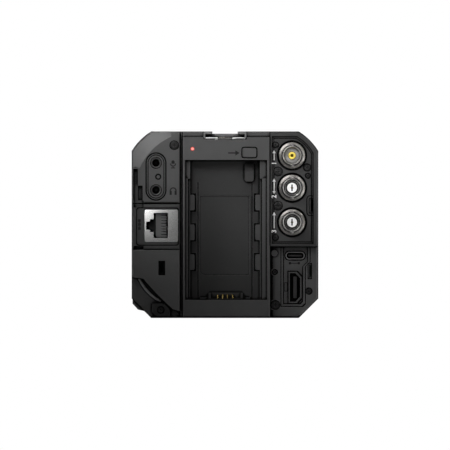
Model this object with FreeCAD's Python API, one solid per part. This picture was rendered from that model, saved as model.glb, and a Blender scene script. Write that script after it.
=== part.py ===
import FreeCAD, Part

import math
import os

Vector = FreeCAD.Vector
ALONG_X = Vector(1, 0, 0)
ALONG_Y = Vector(0, 1, 0)
ALONG_Z = Vector(0, 0, 1)

# The box camera stands on its base at z = 0. Its back, which holds the battery and the sockets, looks
# along -Y, and its lens mount looks along +Y. The tripod thread in the base is at x = 0, y = 0.

# Whole body
body_width = 93.0
body_height = 93.0
body_depth = 78.0
corner_cut = 9.7
corner_bow = 0.8
corner_bow_steps = 6
skin_step = 0.4
overlap = 1.0
lens_height = 46.5
fit = 0.1
seam = 0.15
run_clearance = 0.25
joint_clearance = 0.05

# Cast frame
frame_wall = 2.5
module_depth = 12.0
bulkhead_wall = 3.0
post_radius = 2.6
post_inset_x = 13.0
post_inset_z = 7.0
thread_boss_wall = 2.0
thread_boss_end = 1.0
cable_slot_low = 8.0
cable_slot_high = 11.0

# Cover plates on the four flat sides
cover_wall = 1.5
cover_edge = 0.5
left_cover_low = 21.1
left_cover_below_top = 18.6
right_cover_below_top = 10.4
top_cover_margin = 1.0
cover_screw_radius = 1.6
cover_screw_inset = 4.5
cover_screw_head = 0.8
cover_screw_reach = 1.0
cover_screw_hexagon = 0.8

# Threaded inserts for quarter inch camera screws
insert_radius = 4.0
insert_bore = 2.55
insert_length = 7.0
top_insert_places = [(-22.0, 5.0), (22.0, 5.0), (0.0, 18.0)]
base_insert_places = [(0.0, 0.0), (0.0, 20.0)]
left_insert_y = 7.5
left_insert_below_door = 6.0
left_insert_above_door = 4.0
right_insert_y = 3.0
right_insert_low = 7.3
right_insert_high = 25.1

# Front
front_cover_wall = 3.0
mount_thickness = 3.0
mount_radius = 26.0
mount_spigot_radius = 23.0
mount_step_radius = 21.5
mount_claw_radius = 19.3
mount_gap_radius = 20.8
mount_claw_thickness = 1.2
mount_claw_angle = 64.0
throat_radius = 19.1
shield_radius = 24.5
shield_wall = 1.5
shield_depth = 7.0
mount_screw_radius = 1.3
mount_screw_head = 1.0
mount_screw_sink = 0.2
mount_screw_circle = 23.9
mount_screw_angles = [45.0, 135.0, 225.0, 315.0]
lock_pin_radius = 1.0
lock_pin_angle = 205.0
lock_pin_reach = 1.0
contact_block_inner = 15.6
contact_block_outer = 18.6
contact_block_angle = 62.0
contact_block_length = 7.0
contact_block_sink = 2.6
contact_pin_count = 11
contact_pin_radius = 0.55
contact_pin_reach = 0.4
contact_pin_back = 2.0
release_from_left = 13.5
release_z = 27.0
release_radius = 4.2
release_reach = 1.6
release_travel = 1.4
lamp_from_right = 15.5
lamp_below_top = 15.0
lamp_width = 7.0
lamp_height = 2.6
lamp_corner = 1.2
mic_hole_radius = 0.6
mic_hole_pitch = 2.2
mic_hole_rise = 5.2

# Picture sensor and the boards behind it
flange_distance = 19.25
sensor_width = 19.2
sensor_height = 13.0
sensor_rim = 3.2
sensor_chip = 2.0
sensor_plate = 3.0
sensor_plate_width = 52.0
sensor_plate_height = 46.0
sensor_glass_thickness = 1.8
sensor_glass_edge = 0.3
board_thickness = 1.6
main_board_y = -6.0
board_gap = 0.3
sink_base = 3.0
sink_fin = 1.2
sink_fin_count = 9
sink_fin_height = 8.0
sink_low = 20.0
sink_below_top = 20.0
sink_left = -6.0
sink_from_right = 6.5

# Cooling fan
fan_size = 42.0
fan_depth = 10.0
fan_hole_radius = 19.5
fan_blade_radius = 18.4
fan_hub_radius = 8.5
fan_hub_depth = 7.0
fan_blade_count = 7
fan_blade_wall = 0.9
fan_blade_sweep = 22.0
fan_shaft_radius = 1.2
fan_bearing_wall = 1.4
fan_spider_wall = 1.5
fan_strut_width = 3.0
fan_gap = 0.5

# Middle of the back: battery bay
center_shift = 0.7
center_width = 43.4
left_groove = 1.6
groove_base_depth = 3.5
groove_rib_depth = 1.6
groove_line = 0.55
center_low = 0.3
bay_low = 9.0
top_bar_height = 14.2
top_band_height = 2.9
top_band_step = 1.4
bay_left_wall = 1.0
bay_right_wall = 1.35
bay_rim_depth = 1.5
bay_block_depth = 3.0
bay_ledge_depth = 6.0
bay_depth = 10.0
bay_floor = 2.0
bay_ledge_half = 18.6
bay_half = 17.4
bay_rail_below_bar = 9.3
bay_tab_reach = 2.2
bay_tab_height = 7.7
bay_tab_wall = 2.4
bay_tab_corner = 0.6
bay_tab_below_bar = 17.4
bay_tab_pitch = 14.85
bay_tab_count = 3
bay_tab_gap = 0.8
bay_tab_pocket = 1.7
bay_line_half = 13.45
bay_line_width = 0.6
bay_line_depth = 0.8
bay_line_below_bar = 11.0
label_left = -12.6
label_right = 12.0
label_above_bar = 12.4
label_below_bar = 17.9
label_depth = 0.35
label_corner = 0.8
label_big_corner = 2.9
bay_step_half = 12.4
bay_step_height = 1.2
bar_wall = 2.0

# Battery terminal
terminal_left = -8.2
terminal_right = 8.85
terminal_height = 3.65
terminal_reach = 6.5
terminal_post = 1.1
terminal_floor = 0.7
terminal_back = 2.0
blade_places = [-3.7, -1.2, 1.2, 3.8]
blade_width = 0.45
blade_reach = 3.2
blade_height = 2.0
blade_edge = 0.15

# Battery push button and latch
push_left = 8.7
push_right = 15.6
push_height = 4.7
push_below_top = 8.2
push_reach = 0.8
push_length = 6.0
push_travel = 1.5
push_spring_room = 1.3
push_corner = 0.8
push_edge = 0.35
push_gap = 0.6
latch_left = 9.8
latch_right = 14.3
latch_length = 9.0
latch_below_bay = 1.8
latch_reach = 3.0
latch_travel = 3.0
latch_tail = 0.4
latch_corner = 1.2
latch_ramp_height = 4.05
latch_ramp_depth = 2.4

# Status lamp
led_x = -16.2
led_below_top = 8.7
led_radius = 1.0
led_reach = 0.15
led_length = 4.0
led_edge = 0.4

# Accessory shoe
shoe_width = 21.2
shoe_height = 4.0
shoe_start = 0.6
shoe_length = 18.6
shoe_plate = 0.6
shoe_side = 0.7
shoe_slot = 2.1
shoe_opening = 12.6
shoe_bed_wall = 3.0
shoe_seam = 0.3
shoe_spring_inner = 3.7
shoe_spring_outer = 9.6
shoe_spring_wall = 0.35
shoe_spring_half = 1.2
shoe_spring_end = 2.1
shoe_contact_radius = 1.9
shoe_pin_radius = 0.8
shoe_contact_reach = 0.3
shoe_contact_back = 7.5
shoe_pin_step = 4.6
channel_half = 6.4
channel_depth = 1.15

# Panels of the back
panel_plate = 2.2
panel_wall = 1.5
panel_edge = 0.5
screw_sink = 0.9
screw_head = 0.9
screw_gap = 0.45
screw_shank_length = 4.0
screw_cross_width = 0.45
screw_cross_depth = 0.45
screw_cross_share = 0.62

# Upper left panel with two small round jacks
dish_from_left = 32.0
dish_radius = 30.6
dish_depth = 4.5
dish_spread = 6.6
dish_start = 12.25
audio_height = 35.7
jack_from_left = 12.1
mic_below_top = 15.7
jack_spacing = 13.6
jack_radius = 3.0
jack_bore = 1.85
jack_bore_depth = 10.0
jack_mouth = 2.3
jack_reach = 0.1
track_outer = 5.3
track_inner = 4.2
track_outer_line = 0.75
track_inner_line = 0.5
track_depth = 1.2
jack_line = 0.35
peg_offset = 1.1
peg_below_mic = 6.9
peg_radius = 1.6
peg_inner = 0.8
audio_screw_from_center = 2.7
audio_screw_below_top = 6.9
audio_screw_radius = 2.0
strap_slot_left = 2.7
strap_slot_right = 5.1
strap_slot_start = 1.3
strap_slot_height = 7.4
strap_slot_depth = 5.0
side_band_left = 0.35
side_band_depth = 4.0

# Network socket panel
lan_height = 23.1
lan_tray_left = 1.7
lan_tray_right = 0.3
lan_tray_low = 1.8
lan_tray_top = 2.2
lan_tray_depth = 0.6
lan_tray_corner = 1.4
lan_line = 0.5
lan_line_depth = 1.5
lan_seam = 0.5
lan_gap = 0.3
lan_corner = 0.6
lan_pocket_left = 0.5
lan_pocket_gap = 0.5
lan_pocket_height = 1.7
lan_pocket_depth = 4.0
lan_from_center = 0.8
lan_socket_width = 16.7
lan_socket_low = 3.7
lan_socket_height = 16.1
lan_shield_wall = 0.5
lan_length = 18.0
lan_cavity_depth = 12.5
lan_cavity_start = 4.5
lan_cavity_end = 11.7
lan_cavity_foot = 2.0
lan_cavity_top = 14.5
lan_step_start = 2.7
lan_step_foot = 5.0
lan_step_top = 11.3
lan_key_start = 0.8
lan_key_foot = 6.1
lan_key_top = 10.1
lan_finger_count = 8
lan_finger_pitch = 1.2
lan_finger_width = 0.45
lan_finger_reach = 2.6
lan_finger_wall = 0.35
lan_finger_start = 2.5
lan_finger_end = 9.5
lan_finger_root = 1.0

# Lower left panel with the security slot
slot_from_center = 7.2
slot_width = 3.4
slot_below_lan = 5.7
slot_height = 7.2
slot_plate_wall = 2.0
slot_plate_rim = 1.8
slot_hole_half = 0.9
slot_hole_inset = 1.0
corner_below_lan = 13.6
corner_shoulder_from_left = 5.8
corner_shoulder_drop = 1.0
corner_sag = 0.27
corner_end_from_center = 3.4
corner_end_z = 4.4
corner_foot_z = 3.1
corner_step = 5.0
pad_start_y = -26.0
pad_high = 10.6
pad_side_z = 7.2
pad_corner_from_left = 3.1
pad_corner_z = 4.2
pad_turn_from_left = 6.4
pad_turn_z = 3.4
pad_foot_from_left = 10.3
bead_radius = 0.65
bead_start_side = 1.9
bead_start_rise = -0.1
bead_middle_share = 0.25
bead_middle_side = 2.2
bead_middle_drop = 1.8
bead_end_share = 0.6
bead_end_drop = 2.2
anchor_from_left = 10.1
anchor_width = 9.0
anchor_high = 7.3
anchor_low = 0.5
anchor_cut = 2.4
anchor_rise = 3.6
anchor_screw_from_left = 14.5
anchor_screw_z = 4.0
anchor_screw_radius = 1.5

# Upper right panel with three coaxial sockets
bnc_panel_height = 57.3
bnc_rim_left = 0.7
bnc_rim_right = 1.9
bnc_rim_top = 2.2
bnc_rim_low = 1.1
bnc_step = 1.0
bnc_line_inset = 0.9
bnc_line_width = 0.5
bnc_line_depth = 0.8
bnc_shift = -1.125
bnc_drops = [12.0, 28.1, 45.3]
bnc_well_radius = 7.6
bnc_well_depth = 3.0
bnc_boss_radius = 8.9
bnc_nut_radius = 6.6
bnc_nut_thickness = 1.9
bnc_nut_front_radius = 6.2
bnc_nut_slope = 0.3
bnc_barrel_radius = 4.75
bnc_bore_radius = 3.9
bnc_reach = 5.0
bnc_bore_depth = 7.5
bnc_lug_radius = 0.9
bnc_lug_reach = 0.8
bnc_lug_back = 2.2
bnc_barrel_edge = 0.25
bnc_disc_wall = 2.0
bnc_white_radius = 2.5
bnc_white_sink = 1.0
bnc_slit_width = 0.5
bnc_slit_height = 2.4
bnc_gold_radius = 1.87
bnc_gold_hole = 0.75
bnc_gold_reach = 1.5
bnc_pin_hole = 0.75
bnc_edge_screws = [(2.65, 6.8, 1.3), (3.85, 20.0, 2.0), (3.85, 37.1, 2.0), (2.65, 52.9, 1.3)]
bnc_side_screws = [(7.5, 18.0, 1.6), (7.9, 22.1, 1.1)]
hook_from_right = 6.0
hook_low = 15.0
hook_height = 10.5
hook_width = 4.6
hook_corner = 2.0
hook_line = 0.55
hook_band = 1.2
hook_line_depth = 1.0
hook_depth = 0.7
hook_slot_from_right = 3.7
hook_slot_width = 1.5
hook_slot_low = 17.4
hook_slot_height = 6.2
hook_slot_depth = 3.0

# Lower right panel with the data and video sockets, set back to take their plugs
port_step = 6.0
port_frame_left = 5.25
port_frame_right = 5.7
port_boss_low = 4.5
port_tray_left = 1.1
port_tray_low = 6.8
port_tray_from_right = 7.5
port_tray_widening = 2.4
port_tray_wide_drop = 7.7
port_tray_cut = 1.35
port_tray_depth = 0.6
port_line = 0.55
port_line_depth = 1.4
port_band_gap = 0.75
port_round = 2.6
port_ring = 0.9
socket_line = 0.65
socket_line_depth = 0.8
data_shift = 0.65
data_drop = 4.6
data_width = 9.5
data_height = 3.8
data_corner = 1.8
data_wall = 0.5
data_tongue_wall = 0.7
data_tongue_width = 6.7
video_width = 6.4
video_height = 15.5
video_shift = -0.05
video_rise = 0.65
video_wall = 0.6
video_cut_height = 2.6
video_cut_width = 2.4
video_tongue_wall = 1.6
video_tongue_end = 2.4
socket_bore_depth = 4.6
tongue_sink = 1.0
port_high_screw = (2.35, 12.8, 1.1)
port_low_screw = (2.55, 6.5, 2.0)
port_side_screw = (4.7, 13.4, 1.4)
port_peg = (2.1, 3.4, 1.6)
port_peg_reach = 1.5
port_slot_from_right = 4.5
port_slot_width = 1.4
port_slot_drop = 9.3
port_slot_height = 6.0
port_slot_depth = 3.0
port_bracket_side = 0.9
port_bracket_rise = 1.1
port_bracket_depth = 0.7

# Card door on the left side, and the two card sockets behind it
door_height = 31.5
door_rise = 1.0
door_hinge_y = -17.0
door_end_y = 2.5
door_wall = 1.6
door_barrel_radius = 1.9
door_gap = 0.3
door_pin_radius = 0.7
door_pin_engage = 2.2
door_boss = 2.6
door_grip_depth = 0.5
door_grip_start = 2.4
door_grip_end = 1.2
door_grip_half = 5.0
card_width = 24.4
card_gap = 2.4
card_shell = 0.4
card_length = 29.0
card_pitch = 4.4
card_count = 2
card_mouth = 0.5

# Controls on the right side
record_y = -14.0
record_drop = 10.6
record_radius = 4.8
button_y = -14.0
button_drops = [24.6, 34.6]
button_radius = 2.5
button_below_side = 0.1
button_flange = 0.8
button_flange_wall = 1.0
slider_start = 1.2
slider_length = 6.0
slider_height = 4.0
slider_travel = 5.0
slider_flange = 1.0
slider_groove_count = 3
slider_groove_depth = 0.3
slider_groove_half = 0.25

# Air slots in both sides
vent_first_y = 13.0
vent_pitch = 3.2
vent_count = 5
vent_width = 1.6
vent_below_cover = 8.4
vent_height = 21.0
vent_corner = 0.72

# Places worked out from the sizes above
half_width = body_width / 2
rear_y = -body_depth / 2
flange_y = body_depth / 2
front_face_y = flange_y - mount_thickness
frame_y0 = rear_y + module_depth
frame_y1 = front_face_y - front_cover_wall
frame_half = half_width - skin_step
frame_low = skin_step
frame_high = body_height - skin_step
inner_inset = skin_step + frame_wall
inner_half = half_width - inner_inset
left_cover_high = body_height - left_cover_below_top
vent_high = left_cover_high - vent_below_cover
vent_low = vent_high - vent_height
right_cover_low = body_height - bnc_panel_height
right_cover_high = body_height - right_cover_below_top
center_x0 = center_shift - center_width / 2
center_x1 = center_shift + center_width / 2
left_x1 = center_x0 - left_groove
right_x0 = center_x1 + seam
bay_high = body_height - top_bar_height
bay_floor_y = rear_y + bay_depth
bay_rail_high = bay_high - bay_rail_below_bar
bay_line_high = bay_high - bay_line_below_bar
label_low = bay_low + label_above_bar
label_high = bay_high - label_below_bar
shoe_low = body_height - shoe_height
shoe_y0 = rear_y + shoe_start
shoe_y1 = shoe_y0 + shoe_length
sensor_y = flange_y - flange_distance
sensor_plate_y1 = sensor_y - sensor_chip
bulkhead_y1 = sensor_plate_y1 - sensor_plate
bulkhead_y0 = bulkhead_y1 - bulkhead_wall
main_board_front = main_board_y + board_thickness
push_pocket = push_length - push_reach + push_travel + push_spring_room
control_x = half_width - button_below_side
slider_y = main_board_front + slider_start + slider_flange
fan_y1 = main_board_y
fan_y0 = fan_y1 - fan_depth
port_y = rear_y + port_step
bnc_face_y = rear_y + bnc_step
bnc_well_y = bnc_face_y + bnc_well_depth
bnc_tip_y = rear_y - bnc_reach

# Places on the left side of the back
dish_center_x = dish_from_left - half_width
dish_center_z = body_height - dish_radius
jack_x = jack_from_left - half_width
mic_z = body_height - mic_below_top
headphone_z = mic_z - jack_spacing
peg_x = jack_x + peg_offset
peg_z = mic_z - peg_below_mic
audio_screw_x = left_x1 - audio_screw_from_center
audio_screw_z = body_height - audio_screw_below_top
lan_high = body_height - audio_height
lan_low = lan_high - lan_height
strap_slot_low = lan_high + strap_slot_start
strap_slot_high = strap_slot_low + strap_slot_height
lan_right = left_x1 - lan_from_center
lan_left = lan_right - lan_socket_width
lan_bottom = lan_low + lan_socket_low
lan_top = lan_bottom + lan_socket_height
slot_right = left_x1 - slot_from_center
slot_left = slot_right - slot_width
slot_high = lan_low - slot_below_lan
slot_low = slot_high - slot_height
corner_start_z = lan_low - corner_below_lan
corner_shoulder_x = corner_shoulder_from_left - half_width
corner_shoulder_z = corner_start_z - corner_shoulder_drop
corner_end_x = left_x1 - corner_end_from_center
bead_start_x = corner_shoulder_x - bead_start_side
bead_start_z = corner_shoulder_z + bead_start_rise
corner_run = corner_end_x - corner_shoulder_x
corner_fall = corner_shoulder_z - corner_end_z
bead_middle_x = corner_shoulder_x + bead_middle_share * corner_run - bead_middle_side
bead_middle_z = corner_shoulder_z - bead_middle_share * corner_fall - bead_middle_drop
bead_end_x = corner_shoulder_x + bead_end_share * corner_run
bead_end_z = corner_shoulder_z - bead_end_share * corner_fall - bead_end_drop
anchor_left = anchor_from_left - half_width
anchor_right = anchor_left + anchor_width
anchor_screw_x = anchor_screw_from_left - half_width

# Places on the right side of the back: each screw is a place and the radius of its head
bnc_low = body_height - bnc_panel_height
bnc_x = (right_x0 + half_width) / 2 + bnc_shift
bnc_heights = [body_height - drop for drop in bnc_drops]
bnc_screws = [(right_x0 + x, body_height - drop, radius) for x, drop, radius in bnc_edge_screws]
bnc_screws += [(bnc_x + x, body_height - drop, radius) for x, drop, radius in bnc_side_screws]
port_x0 = right_x0 + port_frame_left
port_x1 = half_width - port_frame_right
port_tray_x0 = port_x0 + port_tray_left
port_tray_x1 = half_width - port_tray_from_right
port_wide_z = bnc_low - port_tray_wide_drop
data_x = (port_x0 + port_x1) / 2 + data_shift
data_z = bnc_low - data_drop
video_x = data_x + video_shift
video_z = (data_z - data_height / 2) / 2 + video_rise
port_screws = [
    (right_x0 + port_high_screw[0], bnc_low - port_high_screw[1], port_high_screw[2]),
    (right_x0 + port_low_screw[0], port_low_screw[1], port_low_screw[2]),
    (half_width - port_side_screw[0], port_side_screw[1], port_side_screw[2]),
]

# Places on the sides and the front
card_center_z = (left_cover_low + left_cover_high) / 2 + door_rise
door_low = card_center_z - door_height / 2
door_high = card_center_z + door_height / 2
record_z = right_cover_high - record_drop
button_heights = [right_cover_high - drop for drop in button_drops]
slider_z = record_z
left_insert_places = [
    (left_insert_y, door_low - left_insert_below_door),
    (left_insert_y, door_high + left_insert_above_door),
]
right_insert_places = [
    (right_insert_y, right_cover_low + right_insert_low),
    (right_insert_y, right_cover_high - right_insert_high),
]
release_x = release_from_left - half_width
lamp_x = half_width - lamp_from_right
lamp_z = body_height - lamp_below_top
sink_high = body_height - sink_below_top
sink_right = half_width - sink_from_right


# Simple solids
def block(x0, x1, y0, y1, z0, z1):
    return Part.makeBox(x1 - x0, y1 - y0, z1 - z0, Vector(x0, y0, z0))


def rod_x(y, z, radius, x0, x1):
    return Part.makeCylinder(radius, x1 - x0, Vector(x0, y, z), ALONG_X)


def rod_y(x, z, radius, y0, y1):
    return Part.makeCylinder(radius, y1 - y0, Vector(x, y0, z), ALONG_Y)


def rod_z(x, y, radius, z0, z1):
    return Part.makeCylinder(radius, z1 - z0, Vector(x, y, z0), ALONG_Z)


def prism_y(points, y0, y1):
    loop = [Vector(x, y0, z) for x, z in points]
    face = Part.Face(Part.makePolygon(loop + loop[:1]))
    return face.extrude(Vector(0, y1 - y0, 0))


def prism_z(points, z0, z1):
    loop = [Vector(x, y, z0) for x, y in points]
    face = Part.Face(Part.makePolygon(loop + loop[:1]))
    return face.extrude(Vector(0, 0, z1 - z0))


def straight_edges(shape, direction):
    lines = [e for e in shape.Edges if e.Curve.TypeId == "Part::GeomLine"]
    return [e for e in lines if abs(e.Curve.Direction.dot(direction)) > 0.999]


def corner_of(edge, x, z):
    point = edge.Vertexes[0]
    return abs(point.X - x) < fit and abs(point.Z - z) < fit


def edges_at(shape, axis, place):
    found = []
    for edge in shape.Edges:
        if all(abs(getattr(v, axis) - place) < 1e-6 for v in edge.Vertexes):
            found.append(edge)
    return found


def rounded_block(x0, x1, y0, y1, z0, z1, radius, direction):
    solid = block(x0, x1, y0, y1, z0, z1)
    return solid.makeFillet(radius, straight_edges(solid, direction))


def joined(first, *others):
    return first.fuse(list(others)).removeSplitter()


def group(solids):
    return Part.makeCompound(list(solids))


# Eight-sided outline of the body, moved inwards by an inset. The two upper corners are bowed outwards.
def octagon(inset):
    side = half_width - inset
    low = inset
    high = body_height - inset
    cut = corner_cut - inset * (2 - math.sqrt(2))
    bow = []
    for i in range(corner_bow_steps + 1):
        share = i / corner_bow_steps
        out = 4 * share * (1 - share) * corner_bow / math.sqrt(2)
        bow.append((side - cut * share + out, high - cut * (1 - share) + out))
    other = [(-x, z) for x, z in reversed(bow)]
    return [(side - cut, low), (side, low + cut)] + bow + other + [(-side, low + cut), (cut - side, low)]


# Coin shaped track used for the grooves around the two jacks
def track(x, z0, z1, radius, y0, y1):
    middle = block(x - radius, x + radius, y0, y1, z0, z1)
    return joined(middle, rod_y(x, z0, radius, y0, y1), rod_y(x, z1, radius, y0, y1))


def ring_y(x, z, outer, inner, y0, y1):
    return rod_y(x, z, outer, y0, y1).cut(rod_y(x, z, inner, y0, y1))


# Screw seen from the back: head with a cross recess, and a shank
def screw_y(x, z, radius, face_y):
    head_y = face_y + screw_sink
    shank_y = head_y + screw_head
    head = rod_y(x, z, radius, head_y, shank_y)
    shank = rod_y(x, z, radius / 2, shank_y, shank_y + screw_shank_length)
    half = screw_cross_width / 2
    reach = radius * screw_cross_share
    cross_y = head_y + screw_cross_depth
    cross = joined(
        block(x - half, x + half, head_y, cross_y, z - reach, z + reach),
        block(x - reach, x + reach, head_y, cross_y, z - half, z + half),
    )
    return joined(head, shank).cut(cross)


def screw_room_y(x, z, radius, face_y):
    head_end = face_y + screw_sink + screw_head
    well = rod_y(x, z, radius + screw_gap, face_y - module_depth, head_end)
    hole = rod_y(x, z, radius / 2 + fit, head_end, head_end + screw_shank_length + fit)
    return joined(well, hole)


def screw_boss_y(x, z, radius, face_y):
    end = face_y + screw_sink + screw_head + screw_shank_length
    return rod_y(x, z, radius + panel_wall, face_y + fit, end)


# Block of the back between two x and two z places, inside the body outline, hollow from the inside
def rear_module(x0, x1, z0, z1, face_y, plate):
    outline = prism_y(octagon(skin_step), face_y, frame_y0)
    solid = outline.common(block(x0, x1, face_y, frame_y0, z0, z1))
    solid = solid.makeChamfer(panel_edge, edges_at(solid, "Y", face_y))
    room_y = face_y + plate
    inner = prism_y(octagon(skin_step + panel_wall), room_y, frame_y0)
    room = block(x0 + panel_wall, x1 - panel_wall, room_y, frame_y0, z0 + panel_wall, z1 - panel_wall)
    return solid.cut(inner.common(room))


def rear_outline(y0, y1):
    return prism_y(octagon(skin_step), y0, y1)


# Cast frame, with its bulkhead, board posts, shoe bed and thread bosses
def insert_bodies(radius, length, start):
    pieces = []
    for x, y in top_insert_places:
        top = body_height - (channel_depth if abs(x) < channel_half else 0)
        pieces.append(rod_z(x, y, radius, top - length, top - start))
    for x, y in base_insert_places:
        pieces.append(rod_z(x, y, radius, start, length))
    for y, z in left_insert_places:
        pieces.append(rod_x(y, z, radius, start - half_width, length - half_width))
    for y, z in right_insert_places:
        pieces.append(rod_x(y, z, radius, half_width - length, half_width - start))
    return pieces


def thread_bosses(gap, start):
    return insert_bodies(insert_radius + thread_boss_wall + gap, insert_length + thread_boss_end + gap, start)


def vent_slots(x0, x1):
    slots = []
    for i in range(vent_count):
        y = vent_first_y + i * vent_pitch
        solid = block(x0, x1, y, y + vent_width, vent_low, vent_high)
        solid = solid.makeFillet(vent_corner, straight_edges(solid, ALONG_X))
        slots.append(solid)
    return slots


def door_room(gap):
    hinge_x = door_barrel_radius - half_width
    plate = block(
        -half_width - gap,
        hinge_x,
        door_hinge_y,
        door_end_y + gap,
        door_low - gap,
        door_high + gap,
    )
    barrel = rod_z(hinge_x, door_hinge_y, door_barrel_radius + gap, door_low - gap, door_high + gap)
    swing = door_hinge_y - door_barrel_radius - gap
    heel = block(-half_width - gap, hinge_x, swing, door_hinge_y, door_low - gap, door_high + gap)
    return joined(plate, barrel, heel)


def door_pins(gap):
    hinge_x = door_barrel_radius - half_width
    reach = door_gap + door_pin_engage + gap
    return rod_z(hinge_x, door_hinge_y, door_pin_radius + gap, door_low - reach, door_high + reach)


def control_rooms(gap):
    x0 = half_width - 2 * frame_wall
    x1 = half_width + overlap
    rooms = [rod_x(record_y, record_z, record_radius + gap, x0, x1)]
    for z in button_heights:
        rooms.append(rod_x(button_y, z, button_radius + gap, x0, x1))
    half = slider_height / 2 + gap
    y1 = slider_y + slider_length + slider_travel + gap
    rooms.append(block(x0, x1, slider_y - gap, y1, slider_z - half, slider_z + half))
    return rooms


def make_main_frame():
    tube = prism_y(octagon(skin_step), frame_y0, frame_y1)
    hollow = prism_y(octagon(inner_inset), frame_y0, frame_y1)
    frame = tube.cut(hollow)
    bulkhead = prism_y(octagon(inner_inset), bulkhead_y0, bulkhead_y1)
    slot_half = sensor_width / 2
    cable_slot = block(-slot_half, slot_half, bulkhead_y0, bulkhead_y1, cable_slot_low, cable_slot_high)
    bulkhead = bulkhead.cut(cable_slot)
    post_x = inner_half - post_inset_x
    post_low = inner_inset + post_inset_z
    posts = []
    for x in (-post_x, post_x):
        for z in (post_low, body_height - post_low):
            posts.append(rod_y(x, z, post_radius, main_board_front, bulkhead_y0))
    shoe_half = shoe_width / 2 + shoe_bed_wall
    bed_low = shoe_low - shoe_bed_wall
    bed = block(-shoe_half, shoe_half, frame_y0, shoe_y1 + shoe_bed_wall, bed_low, body_height - inner_inset)
    bosses = thread_bosses(0, skin_step)
    hinge_x = door_barrel_radius - half_width
    reach = door_gap + door_pin_engage + door_boss / 2
    bosses.append(rod_z(hinge_x, door_hinge_y, door_boss, door_low - reach, door_high + reach))
    frame = joined(frame, bulkhead, bed, *posts, *bosses)
    frame = frame.common(prism_y(octagon(skin_step), frame_y0, frame_y1))
    for cover in (top_room(), base_room(), left_room(), right_room(), shoe_room(shoe_seam)):
        frame = frame.cut(cover)
    for hole in insert_bodies(insert_radius + joint_clearance, insert_length, 0):
        frame = frame.cut(hole)
    frame = frame.cut(door_room(door_gap)).cut(door_pins(joint_clearance))
    frame = frame.cut(lan_body(board_gap))
    window_y0 = main_board_front - board_gap
    window_y1 = window_y0 + card_count * card_pitch + 2 * board_gap
    half = card_width / 2 + card_shell + board_gap
    window_x1 = overlap - inner_half
    z0 = card_center_z - half
    z1 = card_center_z + half
    frame = frame.cut(block(-half_width, window_x1, window_y0, window_y1, z0, z1))
    for slot in vent_slots(-half_width, window_x1) + vent_slots(-window_x1, half_width):
        frame = frame.cut(slot)
    for room in control_rooms(run_clearance):
        frame = frame.cut(room)
    for x, y, z, side in side_screw_places():
        frame = frame.cut(side_screw_room(x, y, z, side))
    return frame


# Rooms in the frame for the cover plates
def top_room():
    half = half_width - corner_cut - top_cover_margin + seam
    return block(-half, half, frame_y0, frame_y1, body_height - cover_wall, body_height)


def base_room():
    half = half_width - corner_cut - top_cover_margin + seam
    return block(-half, half, frame_y0, frame_y1, 0, cover_wall)


def left_room():
    x1 = cover_wall - half_width
    return block(-half_width, x1, frame_y0, frame_y1, left_cover_low - seam, left_cover_high + seam)


def right_room():
    x0 = half_width - cover_wall
    return block(x0, half_width, frame_y0, frame_y1, right_cover_low - seam, right_cover_high + seam)


def shoe_room(gap):
    half = shoe_width / 2 + gap
    return block(-half, half, rear_y - overlap, shoe_y1 + gap, shoe_low, body_height + overlap)


# Shallow channel that runs forwards from the shoe to the front
def channel_room():
    z0 = body_height - channel_depth
    return block(-channel_half, channel_half, shoe_y1 - overlap, front_face_y, z0, body_height + overlap)


# Screws of the four cover plates
def side_screw_places():
    y_back = frame_y0 + cover_screw_inset
    y_front = frame_y1 - cover_screw_inset
    half = half_width - corner_cut - top_cover_margin - cover_screw_inset
    places = []
    for y in (y_back, y_front):
        for x in (-half, half):
            places.append((x, y, body_height, "top"))
            places.append((x, y, 0, "base"))
        for z in (left_cover_low + cover_screw_inset, left_cover_high - cover_screw_inset):
            places.append((-half_width, y, z, "left"))
        for z in (right_cover_low + cover_screw_inset, right_cover_high - cover_screw_inset):
            places.append((half_width, y, z, "right"))
    return places


def turned_to_side(solid, x, y, z, side):
    turns = {"top": (ALONG_X, 180), "base": (ALONG_X, 0), "left": (ALONG_Y, 90), "right": (ALONG_Y, -90)}
    axis, angle = turns[side]
    solid.rotate(Vector(0, 0, 0), axis, angle)
    solid.translate(Vector(x, y, z))
    return solid


def side_screw(x, y, z, side):
    sink = cover_edge / 2
    head_end = sink + cover_screw_head
    head = rod_z(0, 0, cover_screw_radius, sink, head_end)
    shank = rod_z(0, 0, cover_screw_radius / 2, head_end, cover_wall + cover_screw_reach)
    corners = []
    for i in range(7):
        turn = math.pi * i / 3
        corners.append(Vector(math.cos(turn), math.sin(turn), 0) * cover_screw_hexagon)
    hexagon = Part.Face(Part.makePolygon(corners))
    socket = hexagon.extrude(Vector(0, 0, sink + screw_cross_depth))
    return turned_to_side(joined(head, shank).cut(socket), x, y, z, side)


def side_screw_room(x, y, z, side):
    well = rod_z(0, 0, cover_screw_radius + joint_clearance, -overlap, cover_edge / 2 + cover_screw_head)
    end = cover_wall + cover_screw_reach + fit
    hole = rod_z(0, 0, cover_screw_radius / 2 + joint_clearance, 0, end)
    return turned_to_side(joined(well, hole), x, y, z, side)


def make_side_screws():
    return group(side_screw(*place) for place in side_screw_places())


# Cover plates
def with_screw_rooms(plate, wanted):
    for x, y, z, side in side_screw_places():
        if side == wanted:
            plate = plate.cut(side_screw_room(x, y, z, side))
    return plate


def make_top_cover():
    half = half_width - corner_cut - top_cover_margin
    z0 = body_height - cover_wall
    plate = block(-half, half, frame_y0 + seam, frame_y1 - seam, z0, body_height)
    plate = plate.makeChamfer(cover_edge, edges_at(plate, "Z", body_height))
    plate = plate.cut(shoe_room(shoe_seam))
    for x, y in top_insert_places:
        plate = plate.cut(rod_z(x, y, insert_radius + joint_clearance, 0, body_height))
    return with_screw_rooms(plate.cut(channel_room()), "top")


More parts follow.
